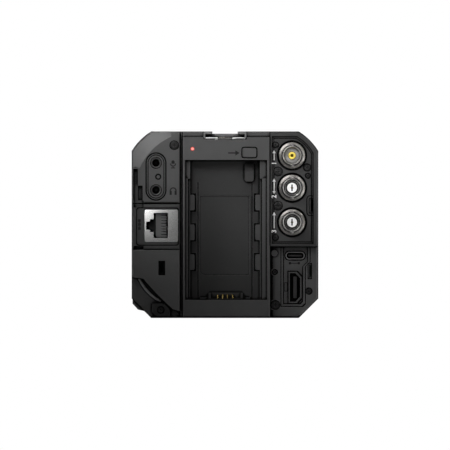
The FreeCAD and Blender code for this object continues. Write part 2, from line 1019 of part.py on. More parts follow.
def make_base_plate():
    half = half_width - corner_cut - top_cover_margin
    plate = block(-half, half, frame_y0 + seam, frame_y1 - seam, 0, cover_wall)
    plate = plate.makeChamfer(cover_edge, edges_at(plate, "Z", 0))
    for x, y in base_insert_places:
        plate = plate.cut(rod_z(x, y, insert_radius + joint_clearance, 0, cover_wall))
    return with_screw_rooms(plate, "base")


def make_left_cover():
    x1 = cover_wall - half_width
    plate = block(-half_width, x1, frame_y0 + seam, frame_y1 - seam, left_cover_low, left_cover_high)
    plate = plate.makeChamfer(cover_edge, edges_at(plate, "X", -half_width))
    plate = plate.cut(door_room(door_gap)).cut(door_pins(joint_clearance))
    for y, z in left_insert_places:
        plate = plate.cut(rod_x(y, z, insert_radius + joint_clearance, -half_width, x1))
    for slot in vent_slots(-half_width, cover_wall - half_width):
        plate = plate.cut(slot)
    return with_screw_rooms(plate, "left")


def make_right_cover():
    x0 = half_width - cover_wall
    plate = block(x0, half_width, frame_y0 + seam, frame_y1 - seam, right_cover_low, right_cover_high)
    plate = plate.makeChamfer(cover_edge, edges_at(plate, "X", half_width))
    for y, z in right_insert_places:
        plate = plate.cut(rod_x(y, z, insert_radius + joint_clearance, 0, half_width))
    for slot in vent_slots(half_width - cover_wall, half_width):
        plate = plate.cut(slot)
    for room in control_rooms(run_clearance):
        plate = plate.cut(room)
    return with_screw_rooms(plate, "right")


def make_thread_inserts():
    bodies = insert_bodies(insert_radius, insert_length, 0)
    holes = insert_bodies(insert_bore, insert_length, 0)
    return group(body.cut(hole) for body, hole in zip(bodies, holes))


# Front cover and lens mount
def make_front_cover():
    plate = prism_y(octagon(0), frame_y1, front_face_y)
    plate = plate.makeChamfer(2 * cover_edge, edges_at(plate, "Y", front_face_y))
    plate = plate.cut(channel_room())
    plate = plate.cut(rod_y(0, lens_height, mount_spigot_radius + fit, frame_y1, front_face_y))
    release_room = rod_y(release_x, release_z, release_radius + run_clearance, frame_y1, front_face_y)
    plate = plate.cut(release_room)
    plate = plate.cut(lamp_body(joint_clearance, frame_y1))
    x, z = lock_pin_center()
    plate = plate.cut(rod_y(x, z, lock_pin_radius + run_clearance, frame_y1, front_face_y))
    for side in (-1, 1):
        for row in range(3):
            x = side * (lamp_x - lamp_width + row * mic_hole_pitch)
            plate = plate.cut(rod_y(x, lamp_z + mic_hole_rise, mic_hole_radius, frame_y1, front_face_y))
    return plate


def lamp_body(gap, y0):
    half_x = lamp_width / 2 + gap
    half_z = lamp_height / 2 + gap
    return rounded_block(
        lamp_x - half_x,
        lamp_x + half_x,
        y0,
        front_face_y,
        lamp_z - half_z,
        lamp_z + half_z,
        lamp_corner + gap,
        ALONG_Y,
    )


def make_front_lamp():
    return lamp_body(0, frame_y1)


def sector(radius, middle, spread, y0, y1):
    steps = 6
    points = [(0, lens_height)]
    for i in range(steps + 1):
        angle = math.radians(middle - spread / 2 + spread * i / steps)
        points.append((radius * math.cos(angle), lens_height + radius * math.sin(angle)))
    return prism_y(points, y0, y1)


def mount_screw_centers():
    centers = []
    for angle in mount_screw_angles:
        turn = math.radians(angle)
        x = mount_screw_circle * math.cos(turn)
        centers.append((x, lens_height + mount_screw_circle * math.sin(turn)))
    return centers


def lock_pin_center():
    turn = math.radians(lock_pin_angle)
    reach = (mount_radius + mount_gap_radius) / 2
    return reach * math.cos(turn), lens_height + reach * math.sin(turn)


def make_lens_mount_ring():
    ring = rod_y(0, lens_height, mount_radius, front_face_y, flange_y)
    ring = ring.makeChamfer(cover_edge, edges_at(ring, "Y", flange_y))
    ring = joined(ring, rod_y(0, lens_height, mount_spigot_radius, frame_y1, front_face_y))
    claw_y = flange_y - mount_claw_thickness
    ring = ring.cut(rod_y(0, lens_height, mount_step_radius, frame_y1, claw_y))
    ring = ring.cut(rod_y(0, lens_height, mount_claw_radius, claw_y, flange_y))
    opening = rod_y(0, lens_height, mount_gap_radius, claw_y, flange_y)
    for i in range(3):
        claw = sector(mount_radius, 90 + 120 * i, mount_claw_angle, claw_y, flange_y)
        opening = opening.cut(claw)
    ring = ring.cut(opening)
    screw_y0 = flange_y - mount_screw_sink - mount_screw_head
    for x, z in mount_screw_centers():
        ring = ring.cut(rod_y(x, z, mount_screw_radius + joint_clearance, screw_y0, flange_y))
    x, z = lock_pin_center()
    return ring.cut(rod_y(x, z, lock_pin_radius + joint_clearance, frame_y1, flange_y))


def make_lens_mount_screws():
    screws = []
    y1 = flange_y - mount_screw_sink
    cross_y = y1 - screw_cross_depth
    half = screw_cross_width / 2
    reach = mount_screw_radius * screw_cross_share
    for x, z in mount_screw_centers():
        head = rod_y(x, z, mount_screw_radius, y1 - mount_screw_head, y1)
        cross = joined(
            block(x - half, x + half, cross_y, flange_y, z - reach, z + reach),
            block(x - reach, x + reach, cross_y, flange_y, z - half, z + half),
        )
        screws.append(head.cut(cross))
    return group(screws)


def make_light_shield():
    flange = rod_y(0, lens_height, shield_radius, frame_y1 - shield_wall, frame_y1)
    tube = rod_y(0, lens_height, throat_radius + shield_wall, frame_y1 - shield_depth, frame_y1)
    throat = rod_y(0, lens_height, throat_radius, frame_y1 - shield_depth, frame_y1)
    body = joined(flange, tube).cut(throat)
    x, z = lock_pin_center()
    body = body.cut(rod_y(x, z, lock_pin_radius + run_clearance, frame_y1 - shield_depth, frame_y1))
    return body


def contact_block_outline(y0, y1):
    wedge = sector(shield_radius, -90, contact_block_angle, y0, y1)
    band = ring_y(0, lens_height, contact_block_outer, contact_block_inner, y0, y1)
    return band.common(wedge)


def make_lens_contact_block():
    y1 = flange_y - contact_block_sink
    return contact_block_outline(y1 - contact_block_length, y1).cut(group(contact_pins(joint_clearance)))


def contact_pins(gap):
    middle = (contact_block_inner + contact_block_outer) / 2
    y1 = flange_y - contact_block_sink + contact_pin_reach
    pins = []
    for i in range(contact_pin_count):
        share = (i + 0.5) / contact_pin_count - 0.5
        turn = math.radians(-90 + contact_block_angle * share)
        x = middle * math.cos(turn)
        z = lens_height + middle * math.sin(turn)
        pins.append(rod_y(x, z, contact_pin_radius + gap, y1 - contact_pin_reach - contact_pin_back, y1))
    return pins


def make_lens_contact_pins():
    return group(contact_pins(0))


def make_lens_release_button():
    y1 = front_face_y + release_reach
    cap = rod_y(release_x, release_z, release_radius, frame_y1 - release_travel, y1)
    cap = cap.makeFillet(cover_edge, edges_at(cap, "Y", y1))
    flange_end = frame_y1 - fit
    flange_start = flange_end - button_flange_wall
    flange = rod_y(release_x, release_z, release_radius + button_flange, flange_start, flange_end)
    return joined(cap, flange)


def make_lens_lock_pin():
    x, z = lock_pin_center()
    return rod_y(x, z, lock_pin_radius, frame_y1 - shield_depth, flange_y + lock_pin_reach)


# Picture sensor
def make_sensor_board():
    plate = block(
        -sensor_plate_width / 2,
        sensor_plate_width / 2,
        bulkhead_y1,
        sensor_plate_y1,
        lens_height - sensor_plate_height / 2,
        lens_height + sensor_plate_height / 2,
    )
    half_x = sensor_width / 2 + sensor_rim
    half_z = sensor_height / 2 + sensor_rim
    chip = block(-half_x, half_x, sensor_plate_y1, sensor_y, lens_height - half_z, lens_height + half_z)
    return joined(plate, chip)


def make_sensor_glass():
    half_x = sensor_width / 2 + sensor_rim / 2
    half_z = sensor_height / 2 + sensor_rim / 2
    y1 = sensor_y + sensor_glass_thickness
    glass = block(-half_x, half_x, sensor_y, y1, lens_height - half_z, lens_height + half_z)
    return glass.makeChamfer(sensor_glass_edge, edges_at(glass, "Y", y1))


# Boards, heat sink and fan inside
def make_main_board():
    board = prism_y(octagon(inner_inset + board_gap), main_board_y, main_board_front)
    for boss in thread_bosses(board_gap, 0):
        board = board.cut(boss)
    return board


def make_io_board():
    board = prism_y(octagon(inner_inset + board_gap), frame_y0, frame_y0 + board_thickness)
    bed_half = shoe_width / 2 + shoe_bed_wall + board_gap
    board = board.cut(
        block(
            -bed_half,
            bed_half,
            frame_y0,
            frame_y0 + board_thickness,
            shoe_low - shoe_bed_wall - board_gap,
            body_height,
        )
    )
    board = board.cut(lan_body(board_gap))
    board = board.cut(latch_body(board_gap, latch_travel + board_gap))
    return board


def make_heat_sink():
    y0 = bulkhead_y0 - sink_base
    base = block(sink_left, sink_right, y0, bulkhead_y0, sink_low, sink_high)
    fins = []
    pitch = (sink_right - sink_left - sink_fin) / (sink_fin_count - 1)
    for i in range(sink_fin_count):
        x = sink_left + i * pitch
        fins.append(block(x, x + sink_fin, y0 - sink_fin_height, y0, sink_low, sink_high))
    sink = joined(base, *fins)
    for boss in thread_bosses(board_gap, 0):
        sink = sink.cut(boss)
    return sink


def make_fan_housing():
    half = fan_size / 2
    body = block(-half, half, fan_y0, fan_y1, lens_height - half, lens_height + half)
    body = body.makeFillet(frame_wall, straight_edges(body, ALONG_Y))
    spider_y = fan_y1 - fan_spider_wall
    body = body.cut(rod_y(0, lens_height, fan_hole_radius, fan_y0, spider_y))
    air = ring_y(0, lens_height, fan_hole_radius, fan_hub_radius, spider_y, fan_y1)
    for i in range(3):
        strut = block(
            0,
            fan_hole_radius + overlap,
            spider_y,
            fan_y1,
            lens_height - fan_strut_width / 2,
            lens_height + fan_strut_width / 2,
        )
        strut.rotate(Vector(0, 0, lens_height), ALONG_Y, 120 * i + 30)
        air = air.cut(strut)
    body = body.cut(air)
    bearing_radius = fan_shaft_radius + fan_bearing_wall
    bearing = rod_y(0, lens_height, bearing_radius, fan_y0 + fan_spider_wall, spider_y)
    body = joined(body, bearing)
    return body.cut(rod_y(0, lens_height, fan_shaft_radius + joint_clearance, fan_y0, fan_y1))


def make_fan_rotor():
    hub_y1 = fan_y0 + fan_gap + fan_hub_depth
    hub_y0 = fan_y0 + fan_gap
    hub = rod_y(0, lens_height, fan_hub_radius, hub_y0, hub_y1)
    room_radius = fan_shaft_radius + fan_bearing_wall + run_clearance
    cup_y = fan_y0 + fan_spider_wall - run_clearance
    hub = hub.cut(rod_y(0, lens_height, room_radius, cup_y, hub_y1))
    shaft = rod_y(0, lens_height, fan_shaft_radius, hub_y0, fan_y1 - fan_gap)
    blades = []
    for i in range(fan_blade_count):
        blade_x = fan_hub_radius - overlap
        blade_top = lens_height + fan_blade_wall
        blade = block(blade_x, fan_blade_radius, hub_y0, hub_y1, lens_height, blade_top)
        blade.rotate(Vector(0, (hub_y0 + hub_y1) / 2, lens_height), ALONG_X, fan_blade_sweep)
        blade.rotate(Vector(0, 0, lens_height), ALONG_Y, 360 * i / fan_blade_count)
        blades.append(blade)
    limit = rod_y(0, lens_height, fan_blade_radius, hub_y0, hub_y1)
    room = rod_y(0, lens_height, room_radius, cup_y, hub_y1)
    rotor = joined(hub, *[blade.common(limit) for blade in blades])
    return joined(rotor.cut(room), shaft)


# Battery bay in the middle of the back
def make_rear_frame():
    body = block(center_x0, center_x1, rear_y, frame_y0, center_low, frame_high)
    body = body.makeChamfer(panel_edge, edges_at(body, "Y", rear_y))
    wide_left = center_x0 + bay_left_wall
    wide_right = center_x1 - bay_right_wall
    body = body.cut(block(wide_left, wide_right, rear_y, rear_y + bay_rim_depth, bay_low, bay_high))
    block_y = rear_y + bay_block_depth
    body = body.cut(block(wide_left, wide_right, rear_y, block_y, bay_rail_high, bay_high))
    ledge_y = rear_y + bay_ledge_depth
    body = body.cut(block(-bay_ledge_half, bay_ledge_half, rear_y, ledge_y, bay_low, bay_rail_high))
    body = body.cut(block(-bay_half, bay_half, rear_y, bay_floor_y, bay_low, bay_high))
    for i in range(bay_tab_count):
        top = bay_high - bay_tab_below_bar - i * bay_tab_pitch
        for side in (-1, 1):
            inner = side * (bay_half - bay_tab_reach)
            x0, x1 = sorted((inner, side * bay_ledge_half))
            pocket_x0, pocket_x1 = sorted((inner - side * bay_tab_gap, side * bay_half))
            pocket = block(
                pocket_x0,
                pocket_x1,
                bay_floor_y,
                bay_floor_y + bay_tab_pocket,
                top - bay_tab_height - bay_tab_gap,
                top + bay_tab_gap,
            )
            body = body.cut(pocket)
            tab = block(x0, x1, ledge_y, ledge_y + bay_tab_wall, top - bay_tab_height, top)
            corners = [e for e in straight_edges(tab, ALONG_Y) if abs(e.Vertexes[0].X - inner) < fit]
            body = joined(body, tab.makeFillet(bay_tab_corner, corners))
    for side in (-1, 1):
        x = side * bay_line_half
        line = block(
            x - bay_line_width / 2,
            x + bay_line_width / 2,
            bay_floor_y,
            bay_floor_y + bay_line_depth,
            bay_low,
            bay_line_high,
        )
        body = body.cut(line)
    label_y = bay_floor_y + label_depth
    label = block(label_left, label_right, bay_floor_y, label_y, label_low, label_high)
    corners = straight_edges(label, ALONG_Y)
    others = [e for e in corners if not corner_of(e, label_left, label_low)]
    label = label.makeFillet(label_corner, others)
    low_left = [e for e in straight_edges(label, ALONG_Y) if corner_of(e, label_left, label_low)]
    body = body.cut(label.makeFillet(label_big_corner, low_left))
    for x0, x1 in ((-bay_step_half, terminal_left - fit), (terminal_right + fit, bay_step_half)):
        step_z = bay_low + bay_step_height
        body = joined(body, block(x0, x1, ledge_y, bay_floor_y, bay_low, step_z))
    band_low = body_height - top_band_height
    body = body.cut(block(center_x0, center_x1, rear_y, rear_y + top_band_step, band_low, body_height))
    body = body.cut(shoe_room(shoe_seam))
    body = body.cut(push_room())
    body = body.cut(latch_body(run_clearance, module_depth))
    body = body.cut(led_body(joint_clearance))
    hollow_y = rear_y + 2 * bar_wall
    x0 = center_x0 + bar_wall
    x1 = center_x1 - bar_wall
    low_hollow = block(x0, x1, hollow_y, frame_y0, center_low + bar_wall, bay_low - bar_wall)
    x0 = led_x + 2 * bar_wall
    x1 = push_left - bar_wall
    top_hollow = block(x0, x1, hollow_y, frame_y0, bay_high + bar_wall, shoe_low - bar_wall)
    body = body.cut(low_hollow).cut(top_hollow)
    rib_x0 = left_x1 + groove_line
    rib_x1 = center_x0 - groove_line
    base_x1 = center_x0 + overlap
    base = block(left_x1 + seam, base_x1, rear_y + groove_base_depth, frame_y0, center_low, frame_high)
    rib = block(rib_x0, rib_x1, rear_y + groove_rib_depth, frame_y0, center_low, frame_high)
    return joined(body, base, rib)


def push_body(gap, y0, y1):
    top = body_height - push_below_top
    return rounded_block(
        push_left - gap,
        push_right + gap,
        y0,
        y1,
        top - push_height - gap,
        top + gap,
        push_corner + gap,
        ALONG_Y,
    )


def push_room():
    return push_body(push_gap, rear_y, rear_y + push_pocket)


def make_battery_push_button():
    y0 = rear_y - push_reach
    button = push_body(0, y0, y0 + push_length)
    return button.makeFillet(push_edge, edges_at(button, "Y", y0))


def latch_body(gap, extra):
    top = bay_high - latch_below_bay
    y0 = bay_floor_y - latch_reach
    y1 = bay_floor_y + bay_floor + latch_tail
    solid = block(latch_left - gap, latch_right + gap, y0, y1 + extra, top - latch_length - gap, top + gap)
    low = [e for e in straight_edges(solid, ALONG_Y) if e.Vertexes[0].Z < top - latch_length / 2]
    return solid.makeFillet(latch_corner + gap, low)


def make_battery_latch():
    top = bay_high - latch_below_bay
    y0 = bay_floor_y - latch_reach
    latch = latch_body(0, 0)
    outline = [(y0, top - latch_ramp_height), (y0, top), (y0 + latch_ramp_depth, top)]
    return latch.cut(prism_x(outline, latch_left, latch_right))


def prism_x(points, x0, x1):
    loop = [Vector(x0, y, z) for y, z in points]
    face = Part.Face(Part.makePolygon(loop + loop[:1]))
    return face.extrude(Vector(x1 - x0, 0, 0))


def led_body(gap):
    z = body_height - led_below_top
    return rod_y(led_x, z, led_radius + gap, rear_y - led_reach, rear_y + led_length)


def make_status_led():
    body = led_body(0)
    return body.makeFillet(led_edge, edges_at(body, "Y", rear_y - led_reach))


def make_battery_terminal():
    y0 = bay_floor_y - terminal_reach
    body = block(terminal_left, terminal_right, y0, bay_floor_y, bay_low, bay_low + terminal_height)
    room = block(
        terminal_left + terminal_post,
        terminal_right - terminal_post,
        y0,
        bay_floor_y - terminal_back,
        bay_low + terminal_floor,
        bay_low + terminal_height,
    )
    return body.cut(room)


def make_battery_contacts():
    y1 = bay_floor_y - terminal_back
    z0 = bay_low + terminal_floor
    blades = []
    for x in blade_places:
        blade = block(x - blade_width / 2, x + blade_width / 2, y1 - blade_reach, y1, z0, z0 + blade_height)
        blades.append(blade.makeChamfer(blade_edge, edges_at(blade, "Z", z0 + blade_height)))
    return group(blades)


# Accessory shoe
def make_hot_shoe_rails():
    half = shoe_width / 2
    base = block(-half, half, shoe_y0, shoe_y1, shoe_low, shoe_low + shoe_plate)
    lip_low = shoe_low + shoe_plate + shoe_slot
    solids = [base]
    for side in (-1, 1):
        wall = sorted((side * half, side * (half - shoe_side)))
        lip = sorted((side * half, side * shoe_opening / 2))
        solids.append(block(wall[0], wall[1], shoe_y0, shoe_y1, shoe_low, body_height))
        solids.append(block(lip[0], lip[1], shoe_y0, shoe_y1, lip_low, body_height))
    stop = block(shoe_side - half, half - shoe_side, shoe_y1 - shoe_side, shoe_y1, shoe_low, lip_low)
    rails = joined(*solids, stop)
    for x, y, radius in shoe_contact_places():
        rails = rails.cut(rod_z(x, y, radius + joint_clearance, shoe_low, body_height))
    return rails


def shoe_contact_places():
    y = shoe_y0 + shoe_contact_back
    places = [(0.0, y, shoe_contact_radius)]
    for side in (-1, 1):
        places.append((side * shoe_pin_step / 2, y + shoe_pin_step, shoe_pin_radius))
    return places


def make_hot_shoe_springs():
    z0 = shoe_low + shoe_plate
    springs = []
    for side in (-1, 1):
        x0, x1 = sorted((side * shoe_spring_inner, side * shoe_spring_outer))
        flat = block(x0, x1, shoe_y0, shoe_y1 - shoe_side - fit, z0, z0 + shoe_spring_wall)
        middle = (x0 + x1) / 2
        arch = block(
            middle - shoe_spring_half,
            middle + shoe_spring_half,
            shoe_y0 + shoe_side,
            shoe_y1 - shoe_spring_end,
            z0 + shoe_spring_wall,
            z0 + 2 * shoe_spring_wall,
        )
        springs.append(joined(flat, arch))
    return group(springs)


def make_hot_shoe_contacts():
    z1 = shoe_low + shoe_plate + shoe_contact_reach
    return group(rod_z(x, y, radius, shoe_low, z1) for x, y, radius in shoe_contact_places())


# Upper left panel
def dish_room():
    y1 = rear_y + dish_depth
    corner = block(
        -half_width - overlap,
        dish_center_x - dish_start,
        rear_y - overlap,
        y1,
        dish_center_z + dish_start,
        body_height + overlap,
    )
    kept = Part.makeCone(
        dish_radius,
        dish_radius + dish_spread,
        dish_depth,
        Vector(dish_center_x, rear_y, dish_center_z),
        ALONG_Y,
    )
    kept = joined(kept, rod_y(dish_center_x, dish_center_z, dish_radius, rear_y - overlap, rear_y))
    return corner.cut(kept)


def make_audio_panel():
    z0 = lan_high + seam
    left = -frame_half
    panel = rear_module(left, left_x1, z0, frame_high, rear_y, panel_plate + dish_depth)
    panel = panel.cut(dish_room())
    face = rear_y + track_depth
    for radius, line in ((track_outer, track_outer_line), (track_inner, track_inner_line)):
        outer = track(jack_x, headphone_z, mic_z, radius, rear_y, face)
        inner = track(jack_x, headphone_z, mic_z, radius - line, rear_y, face)
        panel = panel.cut(outer.cut(inner))
    for z in (mic_z, headphone_z):
        panel = panel.cut(rod_y(jack_x, z, jack_radius + joint_clearance, rear_y, frame_y0))
    panel = panel.cut(ring_y(peg_x, peg_z, peg_radius, peg_inner, rear_y, rear_y + track_depth))
    panel = panel.cut(screw_room_y(audio_screw_x, audio_screw_z, audio_screw_radius, rear_y))
    slot = block(
        left + strap_slot_left,
        left + strap_slot_right,
        rear_y,
        rear_y + strap_slot_depth,
        strap_slot_low,
        strap_slot_high,
    )
    band = block(
        left + side_band_left,
        left + strap_slot_left,
        rear_y,
        rear_y + side_band_depth,
        strap_slot_low,
        left_cover_high,
    )
    pocket_x1 = lan_left - lan_pocket_gap
    pocket_y = rear_y + lan_pocket_depth
    pocket = block(left + lan_pocket_left, pocket_x1, rear_y, pocket_y, lan_high, strap_slot_low)
    return panel.cut(slot).cut(band).cut(pocket)


def jack(z):
    y0 = rear_y - jack_reach
    body = rod_y(jack_x, z, jack_radius, y0, frame_y0)
    body = body.cut(rod_y(jack_x, z, jack_bore, y0, y0 + jack_bore_depth))
    mouth = Part.makeCone(jack_mouth, jack_bore, jack_mouth - jack_bore, Vector(jack_x, y0, z), ALONG_Y)
    line_outer = jack_radius - jack_line / 6
    line = ring_y(jack_x, z, line_outer, line_outer - jack_line, y0, y0 + jack_line)
    return body.cut(mouth).cut(line)


def make_audio_jacks():
    return group([jack(mic_z), jack(headphone_z)])


# Network socket panel and its socket
def lan_body(gap):
    body = block(
        lan_left - gap,
        lan_right + gap,
        rear_y + lan_tray_depth - gap,
        rear_y + lan_tray_depth + lan_length,
        lan_bottom - gap,
        lan_top + gap,
    )
    return body.makeChamfer(lan_corner, straight_edges(body, ALONG_Y))


def lan_cavity(y0, y1):
    x0 = lan_left + lan_cavity_start
    x1 = lan_left + lan_cavity_end
    main = block(x0, x1, y0, y1, lan_bottom + lan_cavity_foot, lan_bottom + lan_cavity_top)
    step_x = lan_left + lan_step_start
    step = block(step_x, x0, y0, y1, lan_bottom + lan_step_foot, lan_bottom + lan_step_top)
    key_x = lan_left + lan_key_start
    key = block(key_x, step_x, y0, y1, lan_bottom + lan_key_foot, lan_bottom + lan_key_top)
    return joined(main, step, key)


def lan_tray(inset, y0, y1):
    x0 = lan_tray_left - frame_half + inset
    x1 = left_x1 - lan_tray_right - inset
    z0 = lan_low + lan_tray_low + inset
    z1 = lan_high - lan_tray_top - inset
    return rounded_block(x0, x1, y0, y1, z0, z1, lan_tray_corner, ALONG_Y)


def make_lan_panel():
    left = -frame_half
    high = lan_high - lan_seam
    panel = rear_module(left, left_x1, lan_low, high, rear_y, panel_plate)
    face = rear_y + lan_tray_depth
    panel = panel.cut(lan_tray(0, rear_y, face))
    outer = lan_tray(0, face, rear_y + lan_line_depth)
    inner = lan_tray(lan_line, face, rear_y + lan_line_depth)
    panel = panel.cut(outer.cut(inner))
    for low in (lan_low, high - lan_pocket_height):
        x0 = left + lan_pocket_left
        pocket_y = rear_y + lan_pocket_depth
        x1 = lan_left - lan_pocket_gap
        panel = panel.cut(block(x0, x1, rear_y, pocket_y, low, low + lan_pocket_height))
    return panel.cut(lan_body(lan_gap))


def make_lan_shield():
    y0 = rear_y + lan_tray_depth
    body = lan_body(0)
    room = block(
        lan_left + lan_shield_wall,
        lan_right - lan_shield_wall,
        y0 + lan_shield_wall,
        y0 + lan_length,
        lan_bottom + lan_shield_wall,
        lan_top - lan_shield_wall,
    )
    return body.cut(room).cut(lan_cavity(y0, y0 + lan_shield_wall))


def make_lan_core():
    y0 = rear_y + lan_tray_depth + lan_shield_wall
    core = block(
        lan_left + lan_shield_wall,
        lan_right - lan_shield_wall,
        y0,
        y0 + lan_length - lan_shield_wall,
        lan_bottom + lan_shield_wall,
        lan_top - lan_shield_wall,
    )
    return core.cut(lan_cavity(y0, y0 + lan_cavity_depth))


def make_lan_contacts():
    y0 = rear_y + lan_tray_depth
    x1 = lan_left + lan_cavity_end
    middle = lan_bottom + (lan_cavity_foot + lan_cavity_top) / 2
    fingers = []
    for i in range(lan_finger_count):
        z = middle + (i - (lan_finger_count - 1) / 2) * lan_finger_pitch
        outline = [
            (x1, y0 + lan_finger_start),
            (x1, y0 + lan_finger_start + lan_finger_root),
            (x1 - lan_finger_reach + lan_finger_wall, y0 + lan_finger_end),
            (x1 - lan_finger_reach, y0 + lan_finger_end),
            (x1 - lan_finger_wall, y0 + lan_finger_start),
        ]
        fingers.append(prism_z(outline, z - lan_finger_width / 2, z + lan_finger_width / 2))
    return group(fingers)


# Lower left panel with the security slot, and the anchor in its corner
def corner_room(y0, y1):
    start = Vector(corner_shoulder_x, rear_y, corner_shoulder_z)
    end = Vector(corner_end_x, rear_y, corner_end_z)
    bulge = (start + end) * 0.5 - Vector(corner_sag, 0, corner_sag)
    curve = Part.Arc(start, bulge, end).toShape()
    right_x = left_x1 + overlap
    left_x = -half_width - overlap
    low = Vector(right_x, rear_y, -overlap)
    foot = Vector(right_x, rear_y, corner_foot_z)
    left_low = Vector(left_x, rear_y, -overlap)
    left_high = Vector(left_x, rear_y, corner_start_z)
    lines = [
        Part.makeLine(end, foot),
        Part.makeLine(foot, low),
        Part.makeLine(low, left_low),
        Part.makeLine(left_low, left_high),
        Part.makeLine(left_high, start),
    ]
    face = Part.Face(Part.Wire([curve] + lines))
    return face.translated(Vector(0, y0 - rear_y, 0)).extrude(Vector(0, y1 - y0, 0))


def make_lock_panel():
    left = -frame_half
    z1 = lan_low - seam
    panel = rear_module(left, left_x1, frame_low, z1, rear_y, panel_plate + corner_step)
    step_y = rear_y + corner_step
    panel = panel.cut(corner_room(rear_y - overlap, step_y))
    slot = block(slot_left, slot_right, rear_y, frame_y0, slot_low, slot_high)
    panel = panel.cut(slot)
    panel = panel.cut(lock_plate_room())
    screw_face = step_y - anchor_rise
    return panel.cut(screw_room_y(anchor_screw_x, anchor_screw_z, anchor_screw_radius, screw_face))


def lock_plate_room():
    y0 = rear_y + panel_plate
    rim = slot_plate_rim + fit
    return block(slot_left - rim, slot_right + rim, y0, frame_y0, slot_low - rim, slot_high + rim)


def make_lock_slot_plate():
    y0 = rear_y + panel_plate
    y1 = y0 + slot_plate_wall
    rim = slot_plate_rim
    plate = block(slot_left - rim, slot_right + rim, y0, y1, slot_low - rim, slot_high + rim)
    middle = (slot_left + slot_right) / 2
    z0 = slot_low + slot_hole_inset
    z1 = slot_high - slot_hole_inset
    return plate.cut(block(middle - slot_hole_half, middle + slot_hole_half, y0, y1, z0, z1))


def make_corner_pad():
    outline = [
        (-frame_half, pad_high),
        (-frame_half, pad_side_z),
        (pad_corner_from_left - half_width, pad_corner_z),
        (pad_turn_from_left - half_width, pad_turn_z),
        (pad_foot_from_left - half_width, frame_low),
        (pad_foot_from_left + overlap - half_width, frame_low),
    ]
    pad = prism_y(outline, pad_start_y, frame_y1 - seam)
    return pad.cut(prism_y(octagon(skin_step), frame_y0, frame_y1)).cut(base_room())


def bead_body(radius):
    y = rear_y + corner_step - bead_radius
    begin = Vector(bead_start_x, y, bead_start_z)
    middle = Vector(bead_middle_x, y, bead_middle_z)
    curve = Part.Arc(begin, middle, Vector(bead_end_x, y, bead_end_z)).toShape()
    path = Part.Wire([curve])
    heading = path.Edges[0].tangentAt(path.Edges[0].FirstParameter)
    section = Part.Wire([Part.makeCircle(radius, begin, heading)])
    return path.makePipeShell([section], True, False)


def make_corner_bead():
    return bead_body(bead_radius)


def make_corner_anchor():
    step_y = rear_y + corner_step
    y0 = step_y - anchor_rise
    outline = [
        (anchor_left, anchor_low + anchor_cut),
        (anchor_left + anchor_cut, anchor_low),
        (anchor_right, anchor_low),
        (anchor_right, anchor_high - anchor_cut),
        (anchor_right - anchor_cut, anchor_high),
        (anchor_left, anchor_high),
    ]
    body = prism_y(outline, y0, step_y)
    body = body.makeChamfer(panel_edge, edges_at(body, "Y", y0))
    body = body.common(corner_room(y0, step_y).translated(Vector(-fit, 0, -fit)))
    body = body.cut(bead_body(bead_radius + fit))
    return body.cut(screw_room_y(anchor_screw_x, anchor_screw_z, anchor_screw_radius, y0))


# Upper right panel and its three coaxial sockets
def bnc_tray(inset, y0, y1):
    x0 = right_x0 + bnc_rim_left + inset
    z0 = bnc_low + bnc_rim_low + inset
    outline = prism_y(octagon(skin_step + bnc_rim_right + inset), y0, y1)
    return outline.common(block(x0, half_width, y0, y1, z0, body_height - bnc_rim_top - inset))


def hook_outline(inset, y1):
    x0 = half_width - hook_from_right + inset
    x1 = half_width - hook_from_right + hook_width - inset
    z0 = bnc_low + hook_low + inset
    z1 = bnc_low + hook_low + hook_height - inset
    return rounded_block(x0, x1, bnc_face_y, y1, z0, z1, hook_corner - inset, ALONG_Y)


def make_bnc_panel():
    panel = rear_module(right_x0, frame_half, bnc_low, frame_high, rear_y, bnc_step + panel_plate)
    bosses = [rod_y(bnc_x, z, bnc_boss_radius, bnc_face_y, bnc_well_y + panel_plate) for z in bnc_heights]
    for x, z, radius in bnc_screws:
        bosses.append(screw_boss_y(x, z, radius, bnc_face_y))
    panel = joined(panel, *bosses)
    panel = panel.common(rear_outline(rear_y, frame_y0))
    panel = panel.common(block(right_x0, frame_half, rear_y, frame_y0, bnc_low, frame_high))
    panel = panel.cut(bnc_tray(0, rear_y, bnc_face_y))
    line_y = bnc_face_y + bnc_line_depth
    groove = bnc_tray(bnc_line_inset, bnc_face_y, line_y).cut(
        bnc_tray(bnc_line_inset + bnc_line_width, bnc_face_y, line_y)
    )
    panel = panel.cut(groove)
    for z in bnc_heights:
        panel = panel.cut(rod_y(bnc_x, z, bnc_well_radius, rear_y, bnc_well_y))
        panel = panel.cut(rod_y(bnc_x, z, bnc_barrel_radius + joint_clearance, bnc_well_y, frame_y0))
    for x, z, radius in bnc_screws:
        panel = panel.cut(screw_room_y(x, z, radius, bnc_face_y))
    line_end = bnc_face_y + hook_line_depth
    line = hook_outline(0, line_end).cut(hook_outline(hook_line, line_end))
    hook = hook_outline(hook_band, bnc_face_y + hook_depth)
    x0 = half_width - hook_slot_from_right
    z0 = bnc_low + hook_slot_low
    slot_y = bnc_face_y + hook_slot_depth
    slot = block(x0, x0 + hook_slot_width, bnc_face_y, slot_y, z0, z0 + hook_slot_height)
    return panel.cut(line).cut(hook).cut(slot)


